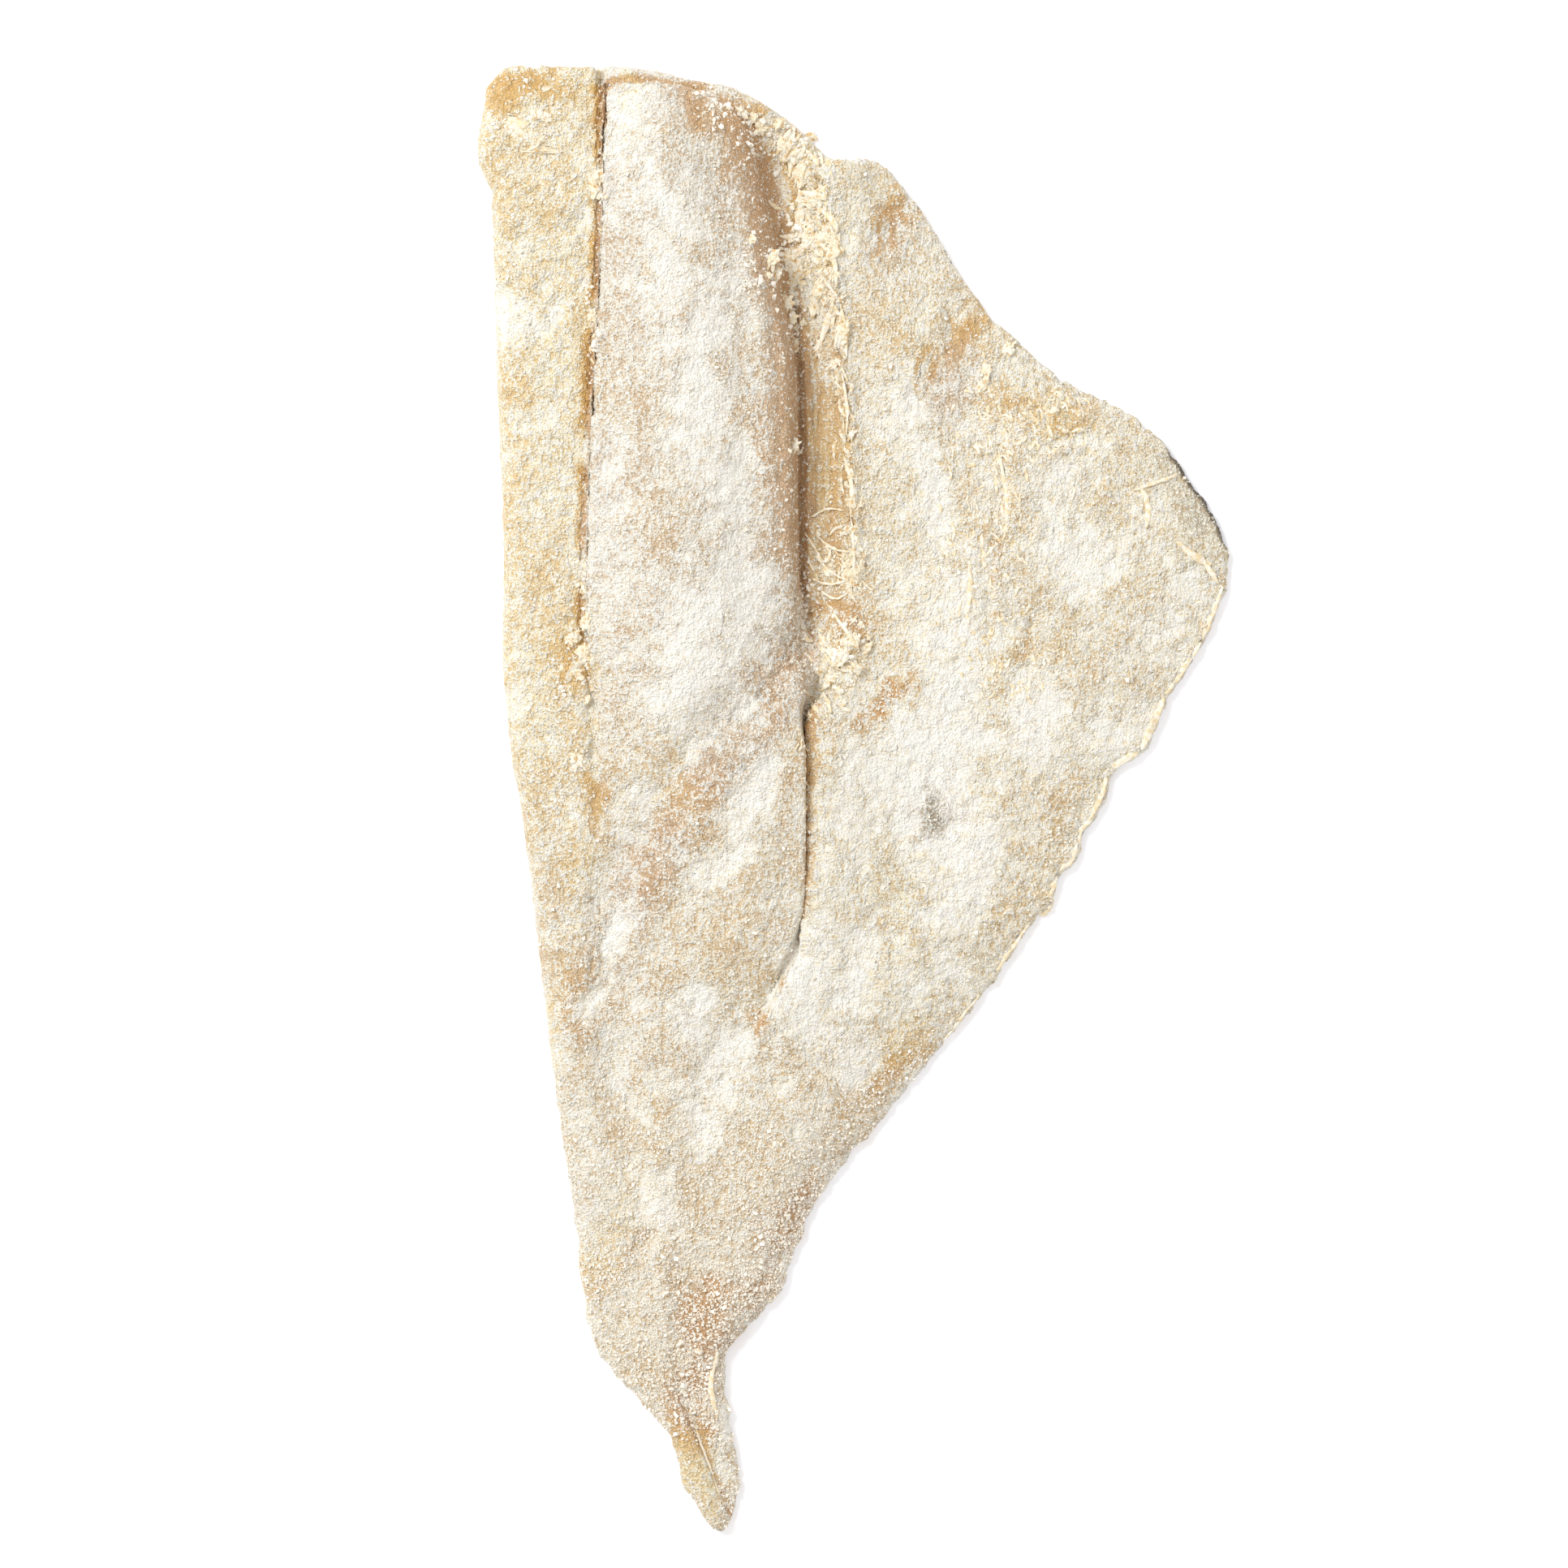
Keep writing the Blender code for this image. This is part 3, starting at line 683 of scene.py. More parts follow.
TAN = (
    (0.14, 0.215, 14, 8, 0, 0.8), (0.08, 0.22, 10, 9, 0, 0.7), (0.08, 0.1, 9, 9, 0, 0.6),
    (0.38, 0.215, 12, 8, 0), (0.05, 0.1, 14, 10, 0, 0.6), (0.56, 0.24, 10, 8, 30, 0.8),
    (0.8, 0.22, 12, 8, 30), (0.45, 0.48, 16, 6, 10, 0.9), (0.44, 0.55, 10, 7, 50, 0.9),
    (0.5, 0.3, 12, 10, 35, 0.8), (0.24, 0.05, 24, 8, 0), (0.3, 0.05, 20, 8, 0),
    (0.35, 0.08, 20, 10, 0), (0.45, 0.12, 25, 12, 0), (0.5, 0.1, 20, 8, 0), (0.6, 0.1, 12, 5, 10),
    (0.17, 0.24, 10, 9, 0), (0.23, 0.24, 7, 6, 0), (0.285, 0.21, 9, 8, 0), (0.32, 0.23, 10, 8, 0),
    (0.33, 0.31, 12, 6, 10), (0.43, 0.19, 12, 6, 0), (0.09, 0.33, 22, 9, 8),
    (0.58, 0.35, 12, 10, 0, 0.8), (0.64, 0.2, 10, 7, 0), (0.67, 0.25, 12, 8, 0),
    (0.72, 0.24, 10, 7, 0), (0.67, 0.42, 8, 5, 0), (0.65, 0.58, 8, 4, 35), (0.71, 0.5, 12, 7, 40),
    (0.74, 0.47, 12, 6, 40), (0.82, 0.17, 10, 7, 0), (0.85, 0.28, 16, 14, 0),
    (0.88, 0.28, 14, 10, 0), (0.26, 0.7, 18, 10, 0), (0.3, 0.72, 12, 9, 0), (0.32, 0.65, 9, 8, 0),
    (0.38, 0.88, 8, 8, 0), (0.41, 0.83, 8, 7, 0), (0.44, 0.85, 6, 7, 0), (0.51, 0.77, 10, 7, 30),
    (0.55, 0.72, 11, 7, 30), (0.58, 0.7, 9, 7, 30), (0.75, 0.36, 14, 9, 0), (0.31, 0.8, 10, 8, 0),
    (0.49, 0.47, 22, 5, 0), (0.06, 0.06, 10, 10, 0), (0.22, 0.17, 16, 3, 0),
    (0.62, 0.24, 14, 10, 30), (0.55, 0.12, 16, 8, 0), (0.69, 0.55, 20, 6, 42, 0.6),
    (0.9, 0.26, 20, 8, 10),
)
PALE = (
    (0.075, 0.5, 14, 15, -40), (0.958, 0.288, 24, 6, -17, 1.2), (0.29, 0.945, 22, 13, -35),
    (0.63, 0.56, 15, 13, 35), (0.44, 0.3, 14, 9, 10), (0.44, 0.1, 12, 8, 0),
    (0.43, 0.42, 9, 6, 10), (0.26, 0.22, 9, 7, 0), (0.62, 0.3, 12, 8, 20, 0.7),
    (0.56, 0.47, 10, 7, 0), (0.2, 0.1, 13, 8, 0), (0.32, 0.56, 9, 7, 0), (0.56, 0.56, 11, 9, 20),
    (0.6, 0.1, 16, 5, 5, 0.8), (0.3, 0.56, 20, 8, 0, 0.6), (0.26, 0.85, 12, 10, 30, 0.5),
    (0.62, 0.65, 10, 8, 35),
)
AMBER = (
    (0.012, 0.055, 5, 13, 0, 1.6), (0.026, 0.03, 8, 6, 0, 1.2), (0.02, 0.1, 4, 8, 0, 0.8),
    (0.024, 0.025, 6, 5, 0, 1.0), (0.036, 0.335, 6, 5, 40, 1.7), (0.028, 0.375, 4, 12, 60, 0.9),
    (0.012, 0.3, 3, 14, 80, 0.8), (0.035, 0.34, 8, 10, 50, 1.2), (0.04, 0.37, 10, 5, -40, 1.2),
    (0.055, 0.41, 12, 6, 30, 1.2), (0.1, 0.385, 24, 5, 15, 0.7), (0.1, 0.425, 22, 6, 12),
    (0.105, 0.55, 13, 9, 15), (0.18, 0.655, 12, 6, 30), (0.205, 0.6, 12, 6, 25),
    (0.24, 0.78, 7, 24, 30, 0.5), (0.225, 0.7, 9, 8, 30, 0.6), (0.4, 0.115, 13, 8, 0),
    (0.62, 0.12, 10, 5, 0, 0.4), (0.68, 0.55, 14, 6, 42), (0.432, 0.54, 13, 6, 55, 1.2),
    (0.365, 0.46, 6, 7, 0), (0.85, 0.3, 12, 8, 0), (0.07, 0.46, 8, 6, 40, 0.7),
    (0.93, 0.277, 8, 4, -20, 0.9), (0.5, 0.155, 10, 3, 0), (0.03, 0.29, 4, 12, 80),
    (0.075, 0.375, 12, 4, 15),
)
BROWN = (
    (0.335, 0.68, 16, 2, 0, 0.7), (0.4, 0.735, 13, 2.4, 5, 0.7), (0.365, 0.69, 8, 2, 0, 0.6),
    (0.21, 0.625, 10, 4, 25, 0.4), (0.19, 0.645, 9, 2.5, 28, 0.5), (0.115, 0.55, 9, 7, 15, 0.3),
    (0.79, 0.41, 14, 8, 35, 0.95), (0.865, 0.3, 14, 8, 25, 1.0), (0.9, 0.282, 12, 5, 15, 1.1),
    (0.011, 0.055, 4, 11, 0, 0.6), (0.033, 0.345, 5, 6, 40, 0.7), (0.77, 0.43, 10, 6, 30, 0.9),
    (0.83, 0.36, 9, 8, 40, 0.9), (0.89, 0.28, 12, 6, 25, 0.8), (0.925, 0.298, 10, 3, 15, 0.9),
    (0.795, 0.225, 8, 2, 50, 0.5), (0.385, 0.43, 14, 8, 15, 0.7), (0.432, 0.538, 14, 5, 55, 1.1),
    (0.378, 0.487, 9, 8, 0, 1.0), (0.26, 0.375, 18, 5, 0, 0.6), (0.14, 0.372, 11, 4, 15, 0.5),
    (0.65, 0.375, 12, 5, 40, 0.5), (0.5, 0.285, 18, 8, 40, 0.3), (0.4, 0.415, 12, 7, 20, 0.6),
    (0.6, 0.2, 16, 6, 10, 0.3), (0.055, 0.345, 12, 3.5, 25, 0.8), (0.475, 0.42, 8, 3, 0, 0.5),
    (0.81, 0.395, 8, 4, 40, 0.7),
)
GREY = (
    (0.512, 0.598, 6, 4, 10, 1.2), (0.504, 0.604, 5, 4, 0, 0.9), (0.265, 0.925, 9, 7, -50, 0.9),
    (0.3, 0.96, 16, 8, -40, 1.2), (0.335, 0.955, 8, 10, 0, 0.6), (0.285, 0.975, 14, 4, -30, 1.0),
    (0.44, 0.8, 8, 12, 0, 0.25), (0.54, 0.27, 12, 8, 35, 0.3), (0.47, 0.33, 12, 9, 30, 0.25),
)
GOLDEN = (
    (0.06, 0.43, 16, 12, 30), (0.13, 0.46, 24, 10, 10), (0.05, 0.53, 12, 14, -50),
    (0.24, 0.78, 12, 34, 40), (0.3, 0.7, 26, 9, 0, 0.9), (0.4, 0.48, 18, 10, 10),
    (0.5, 0.455, 34, 6, 0, 0.8), (0.42, 0.13, 34, 9, 0), (0.55, 0.13, 24, 8, 5),
    (0.27, 0.47, 34, 8, 3), (0.66, 0.56, 22, 8, 40), (0.47, 0.83, 26, 6, 30),
    (0.96, 0.27, 22, 5, 15), (0.66, 0.1, 22, 7, 8), (0.8, 0.16, 26, 8, 10),
    (0.01, 0.2, 5, 30, 90, 0.8), (0.34, 0.93, 9, 14, 0, 0.7),
)
DULL = (
    (0.1, 0.36, 22, 7, 18), (0.18, 0.4, 26, 5, 5), (0.28, 0.42, 34, 5, 0),
    (0.11, 0.56, 14, 9, 15, 0.5), (0.42, 0.41, 16, 10, 20), (0.47, 0.33, 16, 12, 35),
    (0.55, 0.22, 20, 10, 35, 0.9), (0.8, 0.42, 16, 10, 35), (0.86, 0.32, 16, 14, 30, 0.8),
    (0.9, 0.29, 14, 6, 20), (0.22, 0.63, 16, 7, 25, 0.6), (0.51, 0.6, 12, 10, 10),
)


def painting(rows):
    """The strongest of several patches at each point; a sixth number is a patch's strength."""
    return np.maximum.reduce([(row[5] if len(row) > 5 else 1) * patch(*row[:5]) for row in rows])


def line_paint(away, half_width, strength=1.0):
    return strength * ease(away, half_width, 0.3 * half_width)


pits = ease(crumbly * 0.8 + 0.35 * fine, 0.25, -0.15)
mottle = 0.5 * wide + 0.45 * lumpy + 0.3 * knobbly
flank = ease(from_foot * -foot_side, -1 * MM, 1.5 * MM) * ease(from_foot, 17 * MM, 5 * MM)
flank *= ease(along, 0.02, 0.06) * ease(along, 0.40, 0.33)
pleated = gutter * ease(pleats, 0.55, 0.15)
veins = ease(ridges(combed(spots, 75, 1, 1.8), 5.5 * MM, 17), 0.25, 0.9)
open_groove = groove_on * inside * (1 - 0.85 * bridged)
crease_bank = (crease_side > 0) * ease(from_crease, 8 * MM, 2 * MM)
crease_bank = crease_bank * crease_on * ease(crease_run, 0.75, 0.5)
# Painted light: the slope beyond the crease gets more salt and less tan, paler against the shade
# that falls on it.
crease_slope_light = ease(from_crease, 28 * MM, 5 * MM) * (crease_side > 0) * crease_on
crease_slope_light *= 1 - crease_bank
# Painted shade: walls that face the lamp at the left get less salt and more tan, so they read
# darker than they are lit.
painted_wall_shade = ease(facing[:, 0], -0.35, -0.75)
grey = painting(GREY)
tan = 0.32 + 0.55 * mottle + 0.5 * painting(TAN) + 0.3 * flank + 0.1 * gutter
tan -= 0.5 * painting(PALE)
amber = np.maximum.reduce([
    painting(AMBER) * (0.9 - belly * (0.9 - veins)) + 0.12 * mottle + 0.34 * gutter,
    line_paint(np.abs(wavy + 1.1 * MM), 3.0 * MM, 1.3 * open_groove),
    line_paint(from_head + shaky, 2.2 * MM, 0.8 * ease(head_run, 1, 0.85)),
    line_paint(from_gutter + 2 * shaky, 1.8 * MM, 0.55 * torn),
    line_paint(from_foot + shaky, 4 * MM, 0.9 * foot_on),
])
# Brown here is partly the flesh's own colour (the patches, the flank, the pleats) and partly
# painted shade: on the crease's line, the groove's floor, the tail ridge's belly side and along
# the valley.
brown_and_shade = np.maximum.reduce([
    0.9 * painting(BROWN),
    line_paint(crease_away, 1.3 * crease_half, crease_on),
    (0.35 + 0.5 * mottle) * crease_bank,
    line_paint(from_foot + shaky, 2.2 * MM, 0.4 * foot_on),
    (0.9 - 0.2 * ease(along, 0.14, 0.22)) * flank,
    line_paint(np.abs(wavy - 0.1 * MM), 0.9 * MM, 0.45 * open_groove),
    0.5 * pleated,
    0.8 * ridge_on * ease(np.abs(ridge_away - 1.2 * MM), 1.4 * MM, 0.4 * MM),
    (0.42 + 0.4 * mottle) * valley_on,
])
tan -= 0.5 * grey
amber -= 0.4 * grey
TIP_EDGE = trace(((0.246, 0.900), (0.262, 0.921), (0.279, 0.941), (0.301, 0.968), (0.326, 0.992)))
from_tip_edge, _, _ = beside(spots, TIP_EDGE)
hide = line_paint(from_tip_edge + 0.4 * shaky, 1.5 * MM)
hide = np.maximum(hide, 0.34 * patch(0.510, 0.600, 6, 4, 10))
gold = 0.35 + 0.65 * back + 0.25 * belly - 0.25 * loin * ease(along, 0.5, 0.38) + 0.2 * wide
gold = np.maximum.reduce([gold, painting(GOLDEN), 1.1 * facet]) - painting(DULL) * (1 - facet)
salt = (
    0.58 + 0.44 * painting(SALTED) - 0.24 * np.clip(tan - 0.3, 0, 1)
    - 0.7 * np.clip(amber, 0, 1) - 0.36 * brown_and_shade
)
salt -= (
    0.3 * grey + 0.6 * hide + 0.16 * pits - 0.35 * gutter * (pleats - 0.85)
    + 0.30 * flank + 0.2 * mottle
)
# Painted shade: the crease's floor also loses salt where it gapes.
salt -= 0.3 * line_paint(crease_away, 1.3 * crease_half, crease_on * gaping)
salt += 0.14 * crease_slope_light - 0.3 * facet
salt -= 0.05 * painted_wall_shade
tan -= 0.15 * crease_slope_light
tan += 0.1 * painted_wall_shade
paints = {
    "salt": salt, "tan": tan, "amber": amber, "brown_and_shade": brown_and_shade, "grey": grey, "gold": gold,
    "hide": hide,
}
for name, values in paints.items():
    layer = flesh.data.attributes.new(name, "FLOAT", "POINT")
    layer.data.foreach_set("value", np.clip(values, 0, 1).astype(np.float32))
    print(f"{name}: {np.clip(values, 0, 1).mean():.2f} on average")

# %% [markdown]
# ## Salted flesh
# Under the salt, dried cod is cream to tan, and warmer wherever it is thin. Where the crust is
# low, the flesh is painted darker and golden: painted shade, with a painted glow for light that
# passes through the flesh. The crust is opaque, matt and almost white. Fine noise decides, grain
# by grain, where crust ends and flesh begins, which gives the sparkle of salt on both. Bumps below
# a millimetre are left to the shader; everything larger is real relief.

# %% Salted flesh
WHITE = shade(244, 242, 236)
CHALK = shade(237, 231, 219)
BUTTER = shade(245, 236, 210)
OATMEAL = shade(234, 223, 204)
CREAM = shade(245, 231, 194)
BEIGE = shade(220, 196, 164)
HONEY = shade(239, 214, 168)
RUSSET = shade(216, 162, 98)
OCHRE = shade(232, 188, 110)
UMBER = shade(208, 156, 104)
SHADED = shade(200, 166, 128)
GLOWING = shade(224, 186, 122)
ASH = shade(206, 207, 196)
HIDE = shade(96, 86, 72)
STROKE_TURN = math.radians(-35)
STROKE_SQUEEZE = 0.4
flesh_finish = Finish("salted_flesh", 0.78)
speck = flesh_finish.grain(0.78 * MM, 2.0, Distortion=0.3)
grit = flesh_finish.grain(1.9 * MM, 2.5, Distortion=0.3)
blot = flesh_finish.grain(9 * MM, 4.0)
turned = flesh_finish.node("Mapping", {}, {
    "Vector": flesh_finish.places(), "Rotation": (0, 0, STROKE_TURN),
    "Scale": (1, STROKE_SQUEEZE, 1),
})
strokes = flesh_finish.grain(1.3 * MM, 2.0, Vector=turned)
painted = {name: flesh_finish.painted(name) for name in paints}
gilt = painted["gold"] + blot.swing(0.5)


def gilded(dull, golden):
    """A colour that is golden where the paint called gold says so."""
    return flesh_finish.mix(gilt, dull, golden)


tanned = painted["tan"] + blot.swing(0.8)
ground = flesh_finish.mix(tanned, gilded(OATMEAL, CREAM), gilded(BEIGE, HONEY))
stained = painted["amber"] + grit.swing(1.2) + speck.swing(0.8)
ground = flesh_finish.mix(stained, ground, gilded(RUSSET, OCHRE))
# The brown paint turns the ground umber, both as brown flesh and as painted shade.
browned = painted["brown_and_shade"] + grit.swing(1.1) + speck.swing(0.9)
ground = flesh_finish.mix(browned, ground, UMBER)
ground = flesh_finish.mix(painted["grey"] + speck.swing(0.6), ground, ASH)
drift = painted["salt"] + blot.swing(1.0)
powder = flesh_finish.ease(drift, 0.45, 0.9)
grains_here = speck.swing(2.1) + grit.swing(painted["brown_and_shade"] * 1.1 + 1.1) + strokes.swing(1.1)
crust = drift + grains_here * (1.3 - powder * 0.6)
# Painted shade: where the crust is low, the ground is painted darker and golden, a painted glow
# for light passing through the flesh.
pit_shade = flesh_finish.ease(crust, 0.38, -0.1)
ground = flesh_finish.mix(pit_shade * 0.6, ground, gilded(SHADED, GLOWING))
ground = flesh_finish.mix(painted["hide"] + grit.swing(0.5), ground, HIDE)
cover = flesh_finish.ease(crust, 0.22, 0.54)
# The crust's lower grains take a duller, warmer white than its crests: partly the crust's own tone
# and partly painted shade in its hollows.
salty = flesh_finish.mix(flesh_finish.ease(crust, 0.5, 1.0), gilded(CHALK, BUTTER), WHITE)
flesh_finish.feed(Base_Color=flesh_finish.mix(cover, ground, salty))
flesh_finish.feed(Roughness=cover * 0.25 + 0.6)
flesh_finish.bump((speck * 1.3 + grit * 0.9 + strokes * 1.1) * (1.2 - powder * 0.5), 0.9 * MM)
flesh.data.materials.clear()
flesh.data.materials.append(flesh_finish.material)
flesh.data.shade_smooth()
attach(flesh, "root")
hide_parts("cod_side")

# %% [markdown]
# ## Loose salt
# Dry-salted fish carries its salt as a crust of real grains: fine dust, coarser grains, square
# crystals of half a millimetre, and a few clumps twice as wide. Each kind is one mesh of many
# small closed stones, laid on the surface at random spots that are likelier where the salt is
# thick, turned at random and sunk a little way in. Numpy builds them all at once.


# %% Scattering
flesh.data.calc_loop_triangles()
triangles = vectors(flesh.data.loop_triangles, "vertices").astype(int)
corners = moved[triangles]
edge_a = corners[:, 1] - corners[:, 0]
edge_b = corners[:, 2] - corners[:, 0]
cross = np.cross(edge_a, edge_b)
areas = np.linalg.norm(cross, axis=1) / 2
tilts = cross / (2 * areas[:, None] + 1e-12)
STONES = {
    "chip": (
        ((0.9, 0, 0), (0, 0.9, 0), (-0.9, 0, 0), (0, -0.9, 0), (0, 0, 0.9), (0, 0, -0.9)),
        ((0, 1, 4), (1, 2, 4), (2, 3, 4), (3, 0, 4), (1, 0, 5), (2, 1, 5), (3, 2, 5), (0, 3, 5)),
    ),
    "cube": (
        [(x, y, z) for x in (-0.6, 0.6) for y in (-0.6, 0.6) for z in (-0.6, 0.6)],
        (
            (0, 1, 3), (0, 3, 2), (4, 6, 7), (4, 7, 5), (0, 4, 5), (0, 5, 1),
            (2, 3, 7), (2, 7, 6), (0, 2, 6), (0, 6, 4), (1, 5, 7), (1, 7, 3),
        ),
    ),
}


def ball(subdivisions, radius):
    """The points and triangles of an even ball."""
    shape = bmesh.new()
    bmesh.ops.create_icosphere(shape, subdivisions=subdivisions, radius=radius)
    points = [tuple(vertex.co) for vertex in shape.verts]
    faces = [tuple(vertex.index for vertex in face.verts) for face in shape.faces]
    shape.free()
    return points, faces


STONES["lump"] = ball(2, 0.8)


def spins(rng, count):
    """Random turns, as one rotation matrix each."""
    turns = rng.standard_normal((4, count))
    w, x, y, z = turns / np.linalg.norm(turns, axis=0)
    return np.array([
        [1 - 2 * (y * y + z * z), 2 * (x * y - z * w), 2 * (x * z + y * w)],
        [2 * (x * y + z * w), 1 - 2 * (x * x + z * z), 2 * (y * z - x * w)],
        [2 * (x * z - y * w), 2 * (y * z + x * w), 1 - 2 * (x * x + y * y)],
    ]).transpose(2, 0, 1)


def joined(name, points, faces):
    """One mesh object from arrays of points and triangles."""
    mesh = bpy.data.meshes.new(name)
    mesh.from_pydata(points.reshape(-1, 3).tolist(), [], faces.reshape(-1, 3).tolist())
    piece = bpy.data.objects.new(name, mesh)
    scene.collection.objects.link(piece)
    return piece


def scattered(name, kind, count, size, spread, likely, sink, seed):
    """Many stones of one kind; size is half a stone's width, sink is how far in they sit."""
    rng = np.random.default_rng(seed)
    odds = areas * likely
    picks = rng.choice(len(odds), count, p=odds / odds.sum())
    weights = rng.dirichlet((1, 1, 1), count)
    points, faces = (np.array(part) for part in STONES[kind])
    sizes = size * np.exp(spread * rng.standard_normal(count))
    centres = (corners[picks] * weights[:, :, None]).sum(1)
    centres += tilts[picks] * (sizes * (0.6 - sink))[:, None]
    stretch = 1 + 0.3 * rng.standard_normal((count, 1, 3))
    wobble = 1 + 0.18 * rng.standard_normal((count, len(points), 1))
    stones = points * stretch.clip(0.5, 1.7) * wobble
    placed = np.einsum("nij,nkj->nki", spins(rng, count), stones) * sizes[:, None, None]
    placed += centres[:, None]
    placed[:, :, 2] = np.maximum(placed[:, :, 2], FLESH_FLOOR)
    piece = joined(name, placed, faces + len(points) * np.arange(count)[:, None, None])
    print(f"{name}: {count} stones, {count * len(faces)} triangles")
    return piece


# %% Grains and crystals
def on_faces(values):
    """A number at every vertex as one at every triangle."""
    return values[triangles].mean(1)


lit = ease(tilts[:, 2], 0.05, 0.5) * ease(corners[:, :, 2].mean(1), 0.6 * MM, 1.5 * MM)
swept = 0.85 * np.maximum(facet, line_paint(crease_away, crease_half, crease_on))
lit *= 1 - on_faces(swept)
salted = ease(on_faces(np.clip(salt, 0, 1)), 0.12, 0.5)
rough_spots = on_faces(np.clip(brown_and_shade + 0.5 * tan + 0.8 * amber, 0, 1))
low_body = on_faces(ease(along, 0.62, 0.85))
grain_odds = lit * (0.16 + rough_spots * (0.6 + 2 * low_body)) * (0.2 + salted)
dust = scattered("salt_dust", "chip", 24500, 0.24 * MM, 0.25, grain_odds, 0.4, 1)
grains = scattered("salt_grains", "chip", 14000, 0.36 * MM, 0.25, grain_odds, 0.45, 2)
crystal_odds = lit * (0.06 + 0.3 * low_body + rough_spots * (0.12 + 2.7 * low_body))
crystals = scattered("salt_crystals", "cube", 6000, 0.40 * MM, 0.3, crystal_odds, 0.4, 3)

CLUMPED = (
    (0.035, 0.335, 10, 8, 50), (0.045, 0.375, 8, 8, 45), (0.024, 0.31, 4, 14, 80),
    (0.13, 0.4, 8, 5, 15), (0.165, 0.408, 9, 4, 10), (0.18, 0.415, 6, 3, 0),
    (0.145, 0.36, 7, 5, 10), (0.06, 0.41, 8, 5, 30), (0.4, 0.475, 14, 7, 15),
    (0.185, 0.152, 5, 2, 0), (0.155, 0.15, 5, 2, 0), (0.4, 0.12, 16, 5, 0), (0.36, 0.44, 10, 5, 0),
    (0.1, 0.44, 16, 6, 12), (0.095, 0.155, 4, 2, 0), (0.012, 0.06, 3, 12, 90),
)
clump_odds = lit * on_faces(painting(CLUMPED) ** 2)
clumps = scattered("salt_clumps", "lump", 420, 0.66 * MM, 0.35, clump_odds, 0.45, 4)

# %% [markdown]
# ## Salt finish
# A salt grain is clear inside but frosted outside, so in bulk it looks white with small bright
# facets. A plain white with a little gloss does it. Wide noise warms the tone here and there, and
# a grain's steep sides are painted warmer and darker: painted shade, in the warm tone that shade
# takes on the flesh.

# %% Salt finish
FROST = shade(246, 244, 238)
WARM_FROST = shade(242, 234, 216)
SIDE_SHADE = shade(232, 208, 166)
salt_finish = Finish("dry_salt", 0.5)
normal = salt_finish.node("NewGeometry", output="Normal")
upright = salt_finish.node("SeparateXYZ", {}, {0: normal}, "Z")
frost = salt_finish.mix(salt_finish.grain(14 * MM, 2.0) * 0.4, FROST, WARM_FROST)
# Painted shade: a grain's steep sides are painted warmer and darker than its top.
shaded_sides = salt_finish.ease(upright, 0.75, 0.05)
salt_finish.feed(Base_Color=salt_finish.mix(shaded_sides, frost, SIDE_SHADE))
for piece in (dust, grains, crystals, clumps):
    piece.data.materials.append(salt_finish.material)
    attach(piece, "root")

# %% [markdown]
# ## Shreds of membrane
# Beside the gutter, at the flap's tip and along the thin rim, bits of membrane and flesh have torn
# loose and dried: slivers, fibres, a ring, a hooked flake. Each is a flat tapering band along a
# smooth path that lies on the flesh, found by dropping a ray on it. All are joined into one piece.

# %% Bands on the surface
surface = bvhtree.BVHTree.FromPolygons(moved.tolist(), triangles.tolist())


def band(stops, width, thickness=0.5, rise=0.4, tail=0.15, lean=0.0, seed=0, closed=False):
    """Points and quads of one shred; sizes in mm. Rise is its height above the flesh, tail the
    width left at its ends, lean a tilt of its flat side in degrees."""
    rng = np.random.default_rng(1000 + seed)
    line = trace(stops, 3)
    steps = np.hypot(*np.diff(line, axis=0).T)
    share = np.concatenate([[0], np.cumsum(steps)]) / steps.sum()
    heading = np.gradient(line, axis=0)
    heading /= np.linalg.norm(heading, axis=1)[:, None] + 1e-9
    wave = np.interp(share, np.linspace(0, 1, 9), rng.uniform(0.7, 1.25, 9))
    taper = 1 if closed else tail + (1 - tail) * np.sin(np.pi * share.clip(0.02, 0.98)) ** 0.6
    rings = []
    for (x, y), (hx, hy), half in zip(line, heading, 0.5 * width * MM * wave * taper):
        tilt = math.radians(lean) + 0.25 * rng.standard_normal()
        base = height_on(surface, x, y)
        middle = np.array([x, y, base + rise * MM])
        aside = np.array([hy * math.cos(tilt), -hx * math.cos(tilt), math.sin(tilt)])
        up = np.array([-hy * math.sin(tilt), hx * math.sin(tilt), math.cos(tilt)])
        for corner in range(6):
            angle = math.pi * corner / 3
            bulge = thickness * MM * 0.5 * math.sin(angle) * rng.uniform(0.7, 1.3)
            rings.append(middle + aside * half * math.cos(angle) + up * bulge)
    count = len(line)
    quads = []
    for k in range(count if closed else count - 1):
        a, b = 6 * k, 6 * ((k + 1) % count)
        quads += [(a + c, a + (c + 1) % 6, b + (c + 1) % 6, b + c) for c in range(6)]
    if not closed:
        quads += [tuple(range(5, -1, -1)), tuple(range(6 * count - 6, 6 * count))]
    return rings, quads


def banded(name, bands):
    """All the bands as one object."""
    points, faces = [], []
    for rings, quads in bands:
        faces += [tuple(corner + len(points) for corner in quad) for quad in quads]
        points += rings
    mesh = bpy.data.meshes.new(name)
    mesh.from_pydata([tuple(point) for point in points], [], faces)
    mesh.shade_smooth()
    piece = bpy.data.objects.new(name, mesh)
    scene.collection.objects.link(piece)
    piece.modifiers.new("soft", "SUBSURF").levels = 1
    graph = bpy.context.evaluated_depsgraph_get()
    piece.data = bpy.data.meshes.new_from_object(piece.evaluated_get(graph))
    piece.modifiers.clear()
    torn_spots = vectors(piece.data.vertices, "co")
    torn_facing = vectors(piece.data.vertex_normals, "vector")
    ragged = 0.45 * blobs(torn_spots, 1.6 * MM, 41) + 0.35 * blobs(torn_spots, 0.8 * MM, 42)
    torn_spots += torn_facing * (ragged * MM)[:, None]
    piece.data.vertices.foreach_set("co", torn_spots.ravel())
    print(f"{name}: {len(bands)} shreds, {len(piece.data.polygons)} faces")
    return piece


